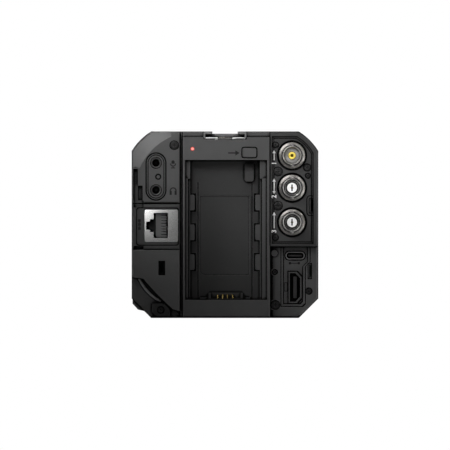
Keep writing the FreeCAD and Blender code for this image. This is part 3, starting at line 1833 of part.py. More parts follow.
def bnc_shell(z):
    body = rod_y(bnc_x, z, bnc_barrel_radius, bnc_tip_y, frame_y0)
    body = body.makeChamfer(bnc_barrel_edge, edges_at(body, "Y", bnc_tip_y))
    lug_y = bnc_tip_y + bnc_lug_back
    reach = bnc_barrel_radius + bnc_lug_reach
    lugs = Part.makeCylinder(bnc_lug_radius, 2 * reach, Vector(bnc_x, lug_y, z - reach), ALONG_Z)
    body = joined(body, lugs)
    bore_end = bnc_tip_y + bnc_bore_depth + bnc_disc_wall
    return body.cut(rod_y(bnc_x, z, bnc_bore_radius, bnc_tip_y, bore_end))


def make_bnc_shells():
    return group(bnc_shell(z) for z in bnc_heights)


def make_bnc_nuts():
    nuts = []
    for z in bnc_heights:
        y0 = bnc_well_y - bnc_nut_thickness
        foot_y = y0 + bnc_nut_slope
        centre = Vector(bnc_x, y0, z)
        cone = Part.makeCone(bnc_nut_front_radius, bnc_nut_radius, bnc_nut_slope, centre, ALONG_Y)
        nut = joined(cone, rod_y(bnc_x, z, bnc_nut_radius, foot_y, bnc_well_y))
        nuts.append(nut.cut(rod_y(bnc_x, z, bnc_barrel_radius + joint_clearance, y0, bnc_well_y)))
    return group(nuts)


def bnc_disc(z):
    y0 = bnc_tip_y + bnc_bore_depth
    return rod_y(bnc_x, z, bnc_bore_radius - joint_clearance, y0, y0 + bnc_disc_wall)


def make_bnc_insulator_1():
    z = bnc_heights[0]
    disc = bnc_disc(z)
    return disc.cut(rod_y(bnc_x, z, bnc_gold_radius + joint_clearance, bnc_tip_y, frame_y0))


def make_bnc_insulators_2_3():
    solids = []
    for z in bnc_heights[1:]:
        y0 = bnc_tip_y + bnc_bore_depth
        core = rod_y(bnc_x, z, bnc_white_radius, bnc_tip_y + bnc_white_sink, y0)
        solid = joined(bnc_disc(z), core)
        slit = block(
            bnc_x - bnc_slit_width / 2,
            bnc_x + bnc_slit_width / 2,
            bnc_tip_y,
            y0,
            z - bnc_slit_height / 2,
            z + bnc_slit_height / 2,
        )
        hole = rod_y(bnc_x, z, bnc_pin_hole + joint_clearance, bnc_tip_y, frame_y0)
        solids.append(solid.cut(slit).cut(hole))
    return group(solids)


def make_bnc_contacts():
    y0 = bnc_tip_y + bnc_bore_depth
    y1 = y0 + bnc_disc_wall
    z = bnc_heights[0]
    ring = ring_y(bnc_x, z, bnc_gold_radius, bnc_gold_hole, y0 - bnc_gold_reach, y0)
    solids = [joined(ring, rod_y(bnc_x, z, bnc_gold_radius, y0, y1))]
    for z in bnc_heights[1:]:
        solids.append(rod_y(bnc_x, z, bnc_pin_hole, y0 - bnc_gold_reach, y1))
    return group(solids)


# Lower right panel, the data socket and the video socket
def port_outline(grow, y0, y1):
    x0 = port_tray_x0 - grow
    x1 = port_tray_x1 + grow
    wide = x1 + port_tray_widening
    z0 = port_tray_low - grow
    cut = port_tray_cut
    low_turn = port_wide_z - port_tray_widening
    points = [
        (x0, z0),
        (x1 - cut, z0),
        (x1, z0 + cut),
        (x1, low_turn),
        (wide, port_wide_z),
        (wide, bnc_low),
        (x0, bnc_low),
    ]
    return prism_y(points, y0, y1)


# Left edge of the lower right panel, rounded off except around its two screws
def port_round_room():
    y1 = port_y + port_round
    edge = block(right_x0 - overlap, right_x0 + port_round, port_y - overlap, y1, 0, bnc_low)
    edge = edge.cut(rod_z(right_x0 + port_round, y1, port_round, 0, bnc_low))
    for x, z, radius in port_screws[:2]:
        edge = edge.cut(rod_y(x, z, radius + port_ring, port_y - overlap, y1))
    return edge


def make_port_panel():
    z1 = bnc_low - seam
    panel = rear_module(right_x0, frame_half, frame_low, z1, port_y, panel_plate)
    boss_high = z1 - panel_wall
    bosses = [block(port_x0, port_x1, port_y + fit, frame_y0, port_boss_low, boss_high)]
    column_y0 = port_y + port_round / 2
    bosses.append(block(right_x0, port_x0, column_y0, port_y + 2 * port_round, frame_low, z1))
    for x, z, radius in port_screws:
        bosses.append(screw_boss_y(x, z, radius, port_y))
    panel = joined(panel, *bosses)
    panel = panel.common(rear_outline(port_y, frame_y0))
    panel = panel.common(block(right_x0, frame_half, port_y, frame_y0, frame_low, z1))
    panel = panel.cut(port_round_room())
    peg_x0, peg_drop, peg_size = port_peg
    peg = rod_y(right_x0 + peg_x0, bnc_low - peg_drop, peg_size, port_y - port_peg_reach, port_y + port_round)
    panel = joined(panel, peg)
    tray_y = port_y + port_tray_depth
    line_y = port_y + port_line_depth
    panel = panel.cut(port_outline(0, port_y, tray_y))
    for grow in (0, port_band_gap + port_line):
        inner = port_outline(grow - port_line, port_y, line_y)
        panel = panel.cut(port_outline(grow, port_y, line_y).cut(inner))
    for gap, y1 in ((socket_line, tray_y + socket_line_depth), (joint_clearance, frame_y0)):
        panel = panel.cut(data_outline(gap, port_y, y1)).cut(video_outline(gap, port_y, y1))
    for x, z, radius in port_screws:
        panel = panel.cut(screw_room_y(x, z, radius, port_y))
    x0 = half_width - port_slot_from_right
    x1 = x0 + port_slot_width
    slot_z1 = bnc_low - port_slot_drop
    slot_z0 = slot_z1 - port_slot_height
    slot = block(x0, x1, port_y, port_y + port_slot_depth, slot_z0, slot_z1)
    bracket_y = port_y + port_bracket_depth
    bracket_x = x0 - port_bracket_side
    rise = port_bracket_rise
    bracket = block(bracket_x, x1, port_y, bracket_y, slot_z0 - rise, slot_z1 + rise)
    return panel.cut(slot).cut(bracket)


def data_outline(gap, y0, y1):
    half_x = data_width / 2 + gap
    half_z = data_height / 2 + gap
    solid = block(data_x - half_x, data_x + half_x, y0, y1, data_z - half_z, data_z + half_z)
    return solid.makeFillet(data_corner + gap, straight_edges(solid, ALONG_Y))


def make_data_socket_shell():
    body = data_outline(0, port_y, frame_y0)
    return body.cut(data_outline(-data_wall, port_y, port_y + socket_bore_depth))


def video_outline(gap, y0, y1):
    x0 = video_x - video_width / 2 - gap
    x1 = video_x + video_width / 2 + gap
    z0 = video_z - video_height / 2 - gap
    z1 = video_z + video_height / 2 + gap
    points = [
        (x0, z0),
        (x1 - video_cut_width, z0),
        (x1, z0 + video_cut_height),
        (x1, z1 - video_cut_height),
        (x1 - video_cut_width, z1),
        (x0, z1),
    ]
    return prism_y(points, y0, y1)


def make_video_socket_shell():
    body = video_outline(0, port_y, frame_y0)
    return body.cut(video_outline(-video_wall, port_y, port_y + socket_bore_depth))


def make_socket_tongues():
    y0 = port_y + tongue_sink
    y1 = port_y + socket_bore_depth
    half_x = data_tongue_width / 2
    half_z = data_tongue_wall / 2
    data = block(data_x - half_x, data_x + half_x, y0, y1, data_z - half_z, data_z + half_z)
    half = video_tongue_wall / 2
    reach = video_height / 2 - video_tongue_end
    video = block(video_x - half, video_x + half, y0, y1, video_z - reach, video_z + reach)
    return group([data, video])


# Screws of the back panels
def make_rear_screws():
    screws = [screw_y(audio_screw_x, audio_screw_z, audio_screw_radius, rear_y)]
    screws.append(
        screw_y(anchor_screw_x, anchor_screw_z, anchor_screw_radius, rear_y + corner_step - anchor_rise)
    )
    for x, z, radius in bnc_screws:
        screws.append(screw_y(x, z, radius, bnc_face_y))
    for x, z, radius in port_screws:
        screws.append(screw_y(x, z, radius, port_y))
    return group(screws)


# Card door and card sockets
def make_card_door():
    hinge_x = door_barrel_radius - half_width
    plate = block(-half_width, door_wall - half_width, door_hinge_y, door_end_y, door_low, door_high)
    hinge_side = door_hinge_y + joint_clearance
    outer_edges = [e for e in edges_at(plate, "X", -half_width) if e.CenterOfMass.y > hinge_side]
    plate = plate.makeChamfer(cover_edge / 2, outer_edges)
    barrel = rod_z(hinge_x, door_hinge_y, door_barrel_radius, door_low, door_high)
    door = joined(plate, barrel)
    door = joined(door, door_pins(0))
    grip_x = door_grip_depth - half_width
    grip_y0 = door_end_y - door_grip_start
    grip_y1 = door_end_y - door_grip_end
    z0 = card_center_z - door_grip_half
    z1 = card_center_z + door_grip_half
    return door.cut(block(-half_width, grip_x, grip_y0, grip_y1, z0, z1))


def make_card_sockets():
    half = card_width / 2
    x0 = -inner_half - card_mouth
    sockets = []
    for i in range(card_count):
        y0 = main_board_front + i * card_pitch
        body = block(
            x0,
            x0 + card_length,
            y0,
            y0 + card_pitch - board_gap,
            card_center_z - half - card_shell,
            card_center_z + half + card_shell,
        )
        slot_y = y0 + (card_pitch - board_gap - card_gap) / 2
        x1 = x0 + card_length - card_shell
        z0 = card_center_z - half
        slot = block(x0, x1, slot_y, slot_y + card_gap, z0, card_center_z + half)
        sockets.append(body.cut(slot))
    return group(sockets)


# Controls on the right side
def side_button(y, z, radius):
    inner_face = inner_half - fit
    cap = rod_x(y, z, radius, inner_face - button_flange_wall, control_x)
    cap = cap.makeFillet(cover_edge, edges_at(cap, "X", control_x))
    flange = rod_x(y, z, radius + button_flange, inner_face - button_flange_wall, inner_face)
    return joined(cap, flange)


def make_record_button():
    return side_button(record_y, record_z, record_radius)


def make_power_slider():
    x1 = control_x
    inner_face = inner_half - fit
    half = slider_height / 2
    y1 = slider_y + slider_length
    knob = block(inner_face - slider_flange, x1, slider_y, y1, slider_z - half, slider_z + half)
    knob = knob.makeChamfer(cover_edge / 2, edges_at(knob, "X", x1))
    flange = block(
        inner_face - slider_flange,
        inner_face,
        slider_y - slider_flange,
        y1 + slider_flange,
        slider_z - half - slider_flange,
        slider_z + half + slider_flange,
    )
    solid = joined(knob, flange)
    x0 = x1 - slider_groove_depth
    for i in range(slider_groove_count):
        y = slider_y + slider_length * (i + 1) / (slider_groove_count + 1)
        y0 = y - slider_groove_half
        groove = block(x0, x1, y0, y + slider_groove_half, slider_z - half, slider_z + half)
        solid = solid.cut(groove)
    return solid


makers = {
    "main_frame": make_main_frame,
    "top_cover": make_top_cover,
    "base_plate": make_base_plate,
    "left_cover": make_left_cover,
    "right_cover": make_right_cover,
    "side_screws": make_side_screws,
    "thread_inserts": make_thread_inserts,
    "front_cover": make_front_cover,
    "front_lamp": make_front_lamp,
    "lens_mount_ring": make_lens_mount_ring,
    "lens_mount_screws": make_lens_mount_screws,
    "light_shield": make_light_shield,
    "lens_contact_block": make_lens_contact_block,
    "lens_contact_pins": make_lens_contact_pins,
    "lens_release_button": make_lens_release_button,
    "lens_lock_pin": make_lens_lock_pin,
    "sensor_board": make_sensor_board,
    "sensor_glass": make_sensor_glass,
    "main_board": make_main_board,
    "io_board": make_io_board,
    "heat_sink": make_heat_sink,
    "fan_housing": make_fan_housing,
    "fan_rotor": make_fan_rotor,
    "rear_frame": make_rear_frame,
    "battery_push_button": make_battery_push_button,
    "battery_latch": make_battery_latch,
    "status_led": make_status_led,
    "battery_terminal": make_battery_terminal,
    "battery_contacts": make_battery_contacts,
    "hot_shoe_rails": make_hot_shoe_rails,
    "hot_shoe_springs": make_hot_shoe_springs,
    "hot_shoe_contacts": make_hot_shoe_contacts,
    "audio_panel": make_audio_panel,
    "audio_jacks": make_audio_jacks,
    "lan_panel": make_lan_panel,
    "lan_shield": make_lan_shield,
    "lan_core": make_lan_core,
    "lan_contacts": make_lan_contacts,
    "lock_panel": make_lock_panel,
    "lock_slot_plate": make_lock_slot_plate,
    "corner_bead": make_corner_bead,
    "corner_pad": make_corner_pad,
    "corner_anchor": make_corner_anchor,
    "bnc_panel": make_bnc_panel,
    "bnc_shells": make_bnc_shells,
    "bnc_nuts": make_bnc_nuts,
    "bnc_insulator_1": make_bnc_insulator_1,
    "bnc_insulators_2_3": make_bnc_insulators_2_3,
    "bnc_contacts": make_bnc_contacts,
    "port_panel": make_port_panel,
    "data_socket_shell": make_data_socket_shell,
    "video_socket_shell": make_video_socket_shell,
    "socket_tongues": make_socket_tongues,
    "rear_screws": make_rear_screws,
    "card_door": make_card_door,
    "card_sockets": make_card_sockets,
    "record_button": make_record_button,
    "power_slider": make_power_slider,
}

os.makedirs("parts", exist_ok=True)
shapes = {name: maker() for name, maker in makers.items()}
for number, z in enumerate(button_heights, 1):
    shapes[f"function_button_{number}"] = side_button(button_y, z, button_radius)
for name, shape in shapes.items():
    shape.exportStep(f"parts/{name}.step")
    print(name, len(shape.Solids), round(shape.Volume, 1), shape.isValid())
print(len(shapes), "nodes")
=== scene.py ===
import math

import bmesh
import bpy
from mathutils import Matrix, Vector


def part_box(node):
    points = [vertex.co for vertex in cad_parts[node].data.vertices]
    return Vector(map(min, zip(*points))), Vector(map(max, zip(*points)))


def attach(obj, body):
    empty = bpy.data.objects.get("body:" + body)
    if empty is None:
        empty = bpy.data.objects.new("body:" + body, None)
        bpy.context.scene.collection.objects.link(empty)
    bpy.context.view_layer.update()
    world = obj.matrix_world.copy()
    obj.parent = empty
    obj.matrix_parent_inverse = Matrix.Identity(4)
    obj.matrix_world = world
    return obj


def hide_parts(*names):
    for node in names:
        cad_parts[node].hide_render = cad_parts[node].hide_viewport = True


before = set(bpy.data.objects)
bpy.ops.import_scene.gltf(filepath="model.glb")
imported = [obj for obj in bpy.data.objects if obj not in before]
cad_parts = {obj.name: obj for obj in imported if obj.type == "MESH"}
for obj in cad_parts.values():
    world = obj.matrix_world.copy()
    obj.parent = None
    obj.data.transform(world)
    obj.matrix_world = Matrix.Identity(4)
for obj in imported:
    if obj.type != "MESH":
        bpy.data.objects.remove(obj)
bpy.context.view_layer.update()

# Lengths below are in millimetres, and mm turns them into metres. The back of the camera, with the
# battery bay and the sockets, looks along -Y, and the lens mount looks along +Y.
mm = 0.001


# Cast frame and front cover
# The frame is one magnesium casting, blasted and then painted charcoal. The front cover is cast the
# same way and sits on the frame's front edge. Its edges are painted a little paler, partly where
# hands rub and partly as a painted highlight, and its recesses get painted shade.
class Wire:
    """A node's output, on which arithmetic adds Math nodes."""

    def __init__(self, finish, socket):
        self.finish = finish
        self.socket = socket

    def maths(self, operation, *values):
        return self.finish.node("Math", {"operation": operation}, dict(enumerate(values)))

    def __add__(self, other):
        return self.maths("ADD", self, other)

    def __sub__(self, other):
        return self.maths("SUBTRACT", self, other)

    def __rsub__(self, other):
        return self.maths("SUBTRACT", other, self)

    def __mul__(self, other):
        return self.maths("MULTIPLY", self, other)

    def __truediv__(self, other):
        return self.maths("DIVIDE", self, other)

    def __rtruediv__(self, other):
        return self.maths("DIVIDE", other, self)

    __radd__ = __add__
    __rmul__ = __mul__

    def held(self, low, high):
        return self.maths("MINIMUM", self.maths("MAXIMUM", self, low), high)

    def root(self):
        return self.maths("SQRT", self)


class Finish:
    """The node tree of one material, or of the world."""

    def __init__(self, owner):
        owner.use_nodes = True
        self.owner = owner
        self.tree = owner.node_tree
        self.tree.nodes.clear()

    def node(self, kind, settings=None, inputs=None, output=0):
        made = self.tree.nodes.new("ShaderNode" + kind)
        for key, value in (settings or {}).items():
            if key == "stops":
                self.set_stops(made.color_ramp, value)
            else:
                setattr(made, key, value)
        for key, value in (inputs or {}).items():
            if isinstance(value, Wire):
                self.tree.links.new(value.socket, made.inputs[key])
            else:
                made.inputs[key].default_value = value
        if made.outputs:
            return Wire(self, made.outputs[output])
        return None

    def set_stops(self, ramp, stops):
        while len(ramp.elements) < len(stops):
            ramp.elements.new(0.5)
        for element, (place, colour) in zip(ramp.elements, stops):
            element.position = place
            element.color = colour

    def place(self):
        return self.node("TexCoord", output="Object")

    def along(self, axis):
        return self.node("SeparateXYZ", inputs={0: self.place()}, output=axis)

    def noise(self, size, detail=2.0):
        inputs = {"Vector": self.place(), "Scale": 1.0 / (size * mm), "Detail": detail}
        return self.node("TexNoise", inputs=inputs)

    def blend(self, factor, first, second):
        colour_a, colour_b, result = 6, 7, 2
        inputs = {"Factor": factor, colour_a: first, colour_b: second}
        return self.node("Mix", {"data_type": "RGBA"}, inputs, output=result)

    def rounded(self, radius):
        return self.node("Bevel", {"samples": 6}, {"Radius": radius * mm})

    def edges(self, radius):
        inputs = {0: self.rounded(radius), 1: self.node("NewGeometry", output="Normal")}
        same = self.node("VectorMath", {"operation": "DOT_PRODUCT"}, inputs, output="Value")
        sharpness = 5.0
        return ((1.0 - same) * sharpness).held(0.0, 1.0)

    def crevices(self, reach):
        inputs = {"Distance": reach * mm}
        return 1.0 - self.node("AmbientOcclusion", {"samples": 8}, inputs, output="AO")

    def bump(self, height, depth, normal):
        inputs = {"Strength": 1.0, "Distance": depth * mm, "Height": height, "Normal": normal}
        return self.node("Bump", inputs=inputs)

    def shade(self, **inputs):
        named = {name.replace("_", " "): value for name, value in inputs.items()}
        shader = self.node("BsdfPrincipled", inputs=named)
        self.node("OutputMaterial", inputs={"Surface": shader})
        return self.owner


def rgb(red, green=None, blue=None):
    if green is None:
        green = red
        blue = red
    return (red, green, blue, 1.0)


def scaled(colour, factor):
    return tuple(min(1.0, part * factor) for part in colour[:3]) + (1.0,)


def matte(
    name,
    colour,
    roughness=0.62,
    grain=0.45,
    grain_depth=0.012,
    mottle=0.16,
    wear_and_highlight=0.5,
    gloss=0.35,
    depth_shade=None,
    recess_shade_gain=1.0,
):
    """A grained paint or plastic. Painted shade blackens its recesses, and its edges are painted
    paler, partly as rubbed wear and partly as a painted highlight.

    depth_shade holds the Y where painted shade starts to darken the colour, the Y where it ends,
    and the share left.
    """
    finish = Finish(bpy.data.materials.new(name))
    patch_size, rub_size = 7.0, 2.2
    patches = finish.noise(patch_size, 3.0)
    speckle = finish.noise(grain, 2.0)
    rub = finish.noise(rub_size, 4.0)

    body = finish.blend(patches, scaled(colour, 1.0 - mottle), scaled(colour, 1.0 + mottle))
    speckle_share = 1.25
    body = finish.blend(speckle * 0.5, body, scaled(colour, speckle_share))
    # Painted shade: faces that lie deeper along Y get a darker colour.
    if depth_shade:
        start, end, share = depth_shade
        depth = (finish.along("Y") / mm - start) / (end - start)
        dark = finish.blend(patches, scaled(colour, share * 0.9), scaled(colour, share * 1.1))
        body = finish.blend(depth.held(0.0, 1.0), body, dark)

    # Painted shade: occlusion darkens the colour in recesses, grooves and beside walls, and
    # roughens them.
    recess_reach, recess_start, recess_gain, recess_share = 1.9, 0.16, 5.5, 0.03
    recess_shade = (finish.crevices(recess_reach) - recess_start) * (recess_gain * recess_shade_gain)
    recess_shade = recess_shade.held(0.0, 1.0)
    body = finish.blend(recess_shade, body, scaled(colour, recess_share))

    # Edges are painted paler where the noise allows, partly as rubbed wear and partly as a painted
    # highlight.
    worn_and_lit_width, worn_and_lit_share = 0.3, 3.4
    rub_gain, rub_least = 1.4, 0.15
    rubbed_patches = (rub * rub_gain + rub_least).held(0.0, 1.0)
    worn_and_lit_edges = finish.edges(worn_and_lit_width) * rubbed_patches * (1.0 - recess_shade) * wear_and_highlight
    body = finish.blend(worn_and_lit_edges, body, scaled(colour, worn_and_lit_share))

    speckle_rough, patch_rough, polish = 0.22, 0.12, 0.12
    uneven = (speckle - 0.5) * speckle_rough + (patches - 0.5) * patch_rough
    rough = uneven + (roughness - worn_and_lit_edges * polish) + recess_shade
    edge_radius = 0.22
    return finish.shade(
        Base_Color=body,
        Roughness=rough.held(0.05, 1.0),
        Specular_IOR_Level=gloss,
        Normal=finish.bump(speckle, grain_depth, finish.rounded(edge_radius)),
    )


def dress(material, *names):
    for name in names:
        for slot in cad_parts[name].material_slots:
            slot.material = material


cast_paint = matte("cast_paint", rgb(0.04), roughness=0.6, grain=0.5, grain_depth=0.02)
dress(cast_paint, "main_frame", "front_cover")


# Cover plates and card door
# Four pressed aluminium plates lie flush in the flat sides, painted like the frame but finer. The
# card door is a moulded lid in the left plate, on two stub pins.
plate_paint = matte("plate_paint", rgb(0.042), roughness=0.55, grain=0.32)
dress(plate_paint, "top_cover", "base_plate", "left_cover", "right_cover", "card_door")


# Thread inserts
# Stainless steel bushes for quarter inch screws, pressed into the frame. Their mouths are turned
# bright, and the bore is plain, as wide as the inside of the thread.
def metal(
    name,
    colour,
    roughness=0.3,
    wear_and_highlight=0.4,
    scratch=0.004,
    radius=0.15,
    recess_shade_gain=0.6,
    uneven=1.0,
):
    """A turned, drawn or plated metal, with painted shade darkening its recesses and edges painted
    brighter, partly as wear and partly as a painted highlight.
    """
    finish = Finish(bpy.data.materials.new(name))
    patch_size, line_size = 5.0, 0.5
    patches = finish.noise(patch_size, 3.0)
    lines = finish.noise(line_size, 3.0)

    dull, bright = 1.0 - 0.14 * uneven, 1.0 + 0.1 * uneven
    body = finish.blend(patches, scaled(colour, dull), scaled(colour, bright))
    line_share = 0.78
    body = finish.blend(lines * (0.5 * uneven), body, scaled(colour, line_share))

    # Painted shade: occlusion darkens the colour in recesses.
    recess_reach, recess_start, recess_gain, recess_share = 1.6, 0.2, 4.0, 0.15
    recess_shade = (finish.crevices(recess_reach) - recess_start) * (recess_gain * recess_shade_gain)
    body = finish.blend(recess_shade.held(0.0, 1.0), body, scaled(colour, recess_share))

    # Edges are painted brighter, partly as wear and partly as a painted highlight.
    worn_and_lit_share = 1.5
    body = finish.blend(finish.edges(radius) * wear_and_highlight, body, scaled(colour, worn_and_lit_share))
    line_rough, patch_rough = 0.18, 0.14
    spots = (lines - 0.5) * line_rough + (patches - 0.5) * patch_rough
    rough = spots * uneven + roughness
    return finish.shade(
        Base_Color=body,
        Metallic=1.0,
        Roughness=rough.held(0.05, 1.0),
        Normal=finish.bump(lines, scratch, finish.rounded(radius)),
    )


turned_steel = metal("turned_steel", rgb(0.55, 0.54, 0.52), roughness=0.28)
dress(turned_steel, "thread_inserts")


# Screws of the covers and of the back
# Small steel screws, blackened, with a soft shine. Those of the back are pan heads with a cross
# recess, sunk in wells. Their edges are painted paler, as wear and as a painted highlight, and
# their recesses get painted shade.
class Solid:
    """A mesh in millimetres, made of turned profiles and bridged outlines."""

    def __init__(self):
        self.mesh = bmesh.new()

    def loop(self, points):
        corners = [self.mesh.verts.new(point) for point in points]
        edges = [self.mesh.edges.new(pair) for pair in zip(corners, corners[1:] + corners[:1])]
        return corners, edges

    def turned(self, x, z, profile, steps=64):
        corners = [self.mesh.verts.new((x + radius, y, z)) for radius, y in profile]
        edges = [self.mesh.edges.new(pair) for pair in zip(corners, corners[1:])]
        bmesh.ops.spin(
            self.mesh,
            geom=corners + edges,
            cent=(x, 0.0, z),
            axis=(0.0, 1.0, 0.0),
            angle=2.0 * math.pi,
            steps=steps,
            use_merge=True,
        )

    def bridged(self, outlines, capped=()):
        loops = [self.loop(outline) for outline in outlines]
        for (_, first), (_, second) in zip(loops, loops[1:]):
            bmesh.ops.bridge_loops(self.mesh, edges=first + second)
        for end in capped:
            self.mesh.faces.new(loops[end][0])

    def block(self, outline, front, back):
        ends = [[(x, y, z) for x, z in outline] for y in (front, back)]
        self.bridged(ends, capped=(0, -1))

    def piece(self, name, material, nodes=(), slot=None, sharp=32.0):
        merge_reach = 0.002
        bmesh.ops.remove_doubles(self.mesh, verts=self.mesh.verts[:], dist=merge_reach)
        bmesh.ops.recalc_face_normals(self.mesh, faces=self.mesh.faces[:])
        bmesh.ops.scale(self.mesh, verts=self.mesh.verts[:], vec=(mm, mm, mm))
        data = bpy.data.meshes.new(name)
        self.mesh.to_mesh(data)
        self.mesh.free()
        data.polygons.foreach_set("use_smooth", [True] * len(data.polygons))
        data.set_sharp_from_angle(angle=math.radians(sharp))
        data.materials.append(material)
        made = bpy.data.objects.new(name, data)
        bpy.context.scene.collection.objects.link(made)
        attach(made, "camera_body")
        if nodes:
            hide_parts(*nodes)


def circle(x, y, z, radius, steps):
    turns = [2.0 * math.pi * i / steps for i in range(steps)]
    return [(x + radius * math.cos(turn), y, z + radius * math.sin(turn)) for turn in turns]


def rectangle(x0, x1, z0, z1):
    return [(x0, z0), (x1, z0), (x1, z1), (x0, z1)]


def cross_screw(solid, x, z, radius, y):
    steps = 40
    face_radius = 0.8 * radius
    head = [
        (face_radius, y),
        (radius - 0.26, y),
        (radius - 0.08, y + 0.07),
        (radius, y + 0.25),
        (radius, y + 0.9),
    ]
    solid.turned(x, z, head, steps)
    _, face_edges = solid.loop(circle(x, y, z, face_radius, steps))

    arm = 0.14 * radius + 0.06
    tip = 0.64 * radius
    half_cross = [(arm, tip), (arm, arm), (tip, arm), (tip, -arm), (arm, -arm), (arm, -tip)]
    cross = half_cross + [(-across, -up) for across, up in half_cross]
    _, mouth_edges = solid.loop([(x + across, y, z + up) for across, up in cross])
    bmesh.ops.triangle_fill(solid.mesh, use_beauty=True, edges=face_edges + mouth_edges)

    depth, taper = 0.5, 0.8
    bottom = [(x + taper * across, y + depth, z + taper * up) for across, up in cross]
    bottom_corners, bottom_edges = solid.loop(bottom)
    bmesh.ops.bridge_loops(solid.mesh, edges=mouth_edges + bottom_edges)
    solid.mesh.faces.new(bottom_corners)


black_screw = metal("black_screw", rgb(0.06), roughness=0.35, wear_and_highlight=2.0)
dress(black_screw, "side_screws")
# Each row holds x, z, the radius and the y of the head's face.
rear_screw_places = [
    (-25.3, 86.1, 2.0, -38.1),
    (-32.0, 4.0, 1.5, -36.7),
    (25.2, 86.2, 1.3, -37.1),
    (26.4, 73.0, 2.0, -37.1),
    (26.4, 55.9, 2.0, -37.1),
    (25.2, 40.1, 1.3, -37.1),
    (40.9, 75.0, 1.6, -37.1),
    (41.3, 70.9, 1.1, -37.1),
    (24.9, 22.9, 1.1, -32.1),
    (25.1, 6.5, 2.0, -32.1),
    (41.8, 13.4, 1.4, -32.1),
]
screws = Solid()
for screw_place in rear_screw_places:
    cross_screw(screws, *screw_place)
screws.piece("rear_screw_heads", black_screw, ["rear_screws"], "screw_black")


# Lens mount
# A turned ring of bayonet steel on four screws, with a spring pin that locks the lens and a button
# that draws the pin back. Behind the ring are a black tube and the curved block of gold pins.
dress(metal("mount_steel", rgb(0.62, 0.61, 0.59), roughness=0.22), "lens_mount_ring")
dress(turned_steel, "lens_mount_screws", "lens_lock_pin")
black_plastic = matte(
    "black_plastic", rgb(0.02), roughness=0.5, grain=0.25, grain_depth=0.006, gloss=0.4
)
dress(black_plastic, "lens_release_button", "light_shield", "lens_contact_block")
gold = metal("gold", rgb(0.9, 0.66, 0.22), roughness=0.25)
dress(gold, "lens_contact_pins")


# Picture sensor
# The sensor is a ceramic block on its plate. A dark glass filter with a polished face lies over it
# and keeps dust off.
sensor_ceramic = matte("sensor_ceramic", rgb(0.045, 0.05, 0.055), roughness=0.4, grain=0.2)
dress(sensor_ceramic, "sensor_board")
filter_glass = matte(
    "filter_glass", rgb(0.03, 0.045, 0.05), roughness=0.08, grain_depth=0.0, gloss=0.9
)
dress(filter_glass, "sensor_glass")


# Boards, heat sink, fan and card slots inside
# Dark green boards lie behind the sensor and behind the back, next to an aluminium sink with fins
# and a small moulded fan. Behind the card door are two moulded slots for cards.
board_green = matte(
    "board_green", rgb(0.004, 0.012, 0.007), roughness=0.5, grain=0.8, gloss=0.2
)
dress(board_green, "main_board", "io_board")
dress(metal("sink_aluminium", rgb(0.6, 0.61, 0.62), roughness=0.4), "heat_sink")
dress(black_plastic, "fan_housing", "fan_rotor", "card_sockets")


# Battery bay
# The middle of the back is one glass filled moulding with a spark eroded grain. Its floor and its
# ledges get painted shade, darker the deeper they lie, and edges are painted paler, partly as
# rubbed wear and partly as a painted highlight.
bay_plastic = matte(
    "bay_plastic",
    rgb(0.047),
    roughness=0.58,
    grain=0.4,
    grain_depth=0.014,
    wear_and_highlight=0.9,
    depth_shade=(-33.2, -30.0, 0.5),
)
dress(bay_plastic, "rear_frame")


# Panels of the back
# Glass filled mouldings screwed to the frame, three on the left of the bay and two on its right.
# Their grain and their black differ a little from panel to panel, and the lower two are palest.
dress(matte("audio_plastic", rgb(0.052), roughness=0.56, grain=0.42), "audio_panel")
dress(matte("lan_plastic", rgb(0.034), roughness=0.6, grain=0.36), "lan_panel")
dress(matte("lock_plastic", rgb(0.062), roughness=0.6, grain=0.4), "lock_panel")
dress(matte("bnc_plastic", rgb(0.03), roughness=0.55, grain=0.36, wear_and_highlight=0.35), "bnc_panel")
dress(matte("port_plastic", rgb(0.066), roughness=0.58, grain=0.36, wear_and_highlight=0.9), "port_panel")


# Lower left corner
# A soft rubber pad wraps the corner, a round bead of the same rubber closes its edge, and a small
# black foot block is screwed beside them. The bead is painted paler than the pad, as a painted
# highlight along its arc.
rubber = matte(
    "rubber",
    rgb(0.11),
    roughness=0.72,
    grain=0.9,
    grain_depth=0.04,
    mottle=0.3,
    wear_and_highlight=0.3,
    gloss=0.3,
)
dress(rubber, "corner_pad")
bead_highlight_rubber = matte(
    "bead_highlight_rubber", rgb(0.2), roughness=0.35, grain=0.4, wear_and_highlight=0.3, gloss=0.6, recess_shade_gain=0.5
)
dress(bead_highlight_rubber, "corner_bead")
anchor_plastic = matte(
    "anchor_plastic", rgb(0.016), roughness=0.5, grain=1.1, grain_depth=0.05, mottle=0.4
)
dress(anchor_plastic, "corner_anchor")


# Battery release and terminal
# The push button draws the latch back against a spring, and both are moulded. The terminal block
# at the foot of the bay holds four gold blades.
button_plastic = matte(
    "button_plastic", rgb(0.05), roughness=0.45, grain=0.25, grain_depth=0.008, wear_and_highlight=0.4
)
dress(button_plastic, "battery_push_button")
dress(matte("latch_plastic", rgb(0.03), roughness=0.5, grain=0.25), "battery_latch")
dress(black_plastic, "battery_terminal")
dress(gold, "battery_contacts")


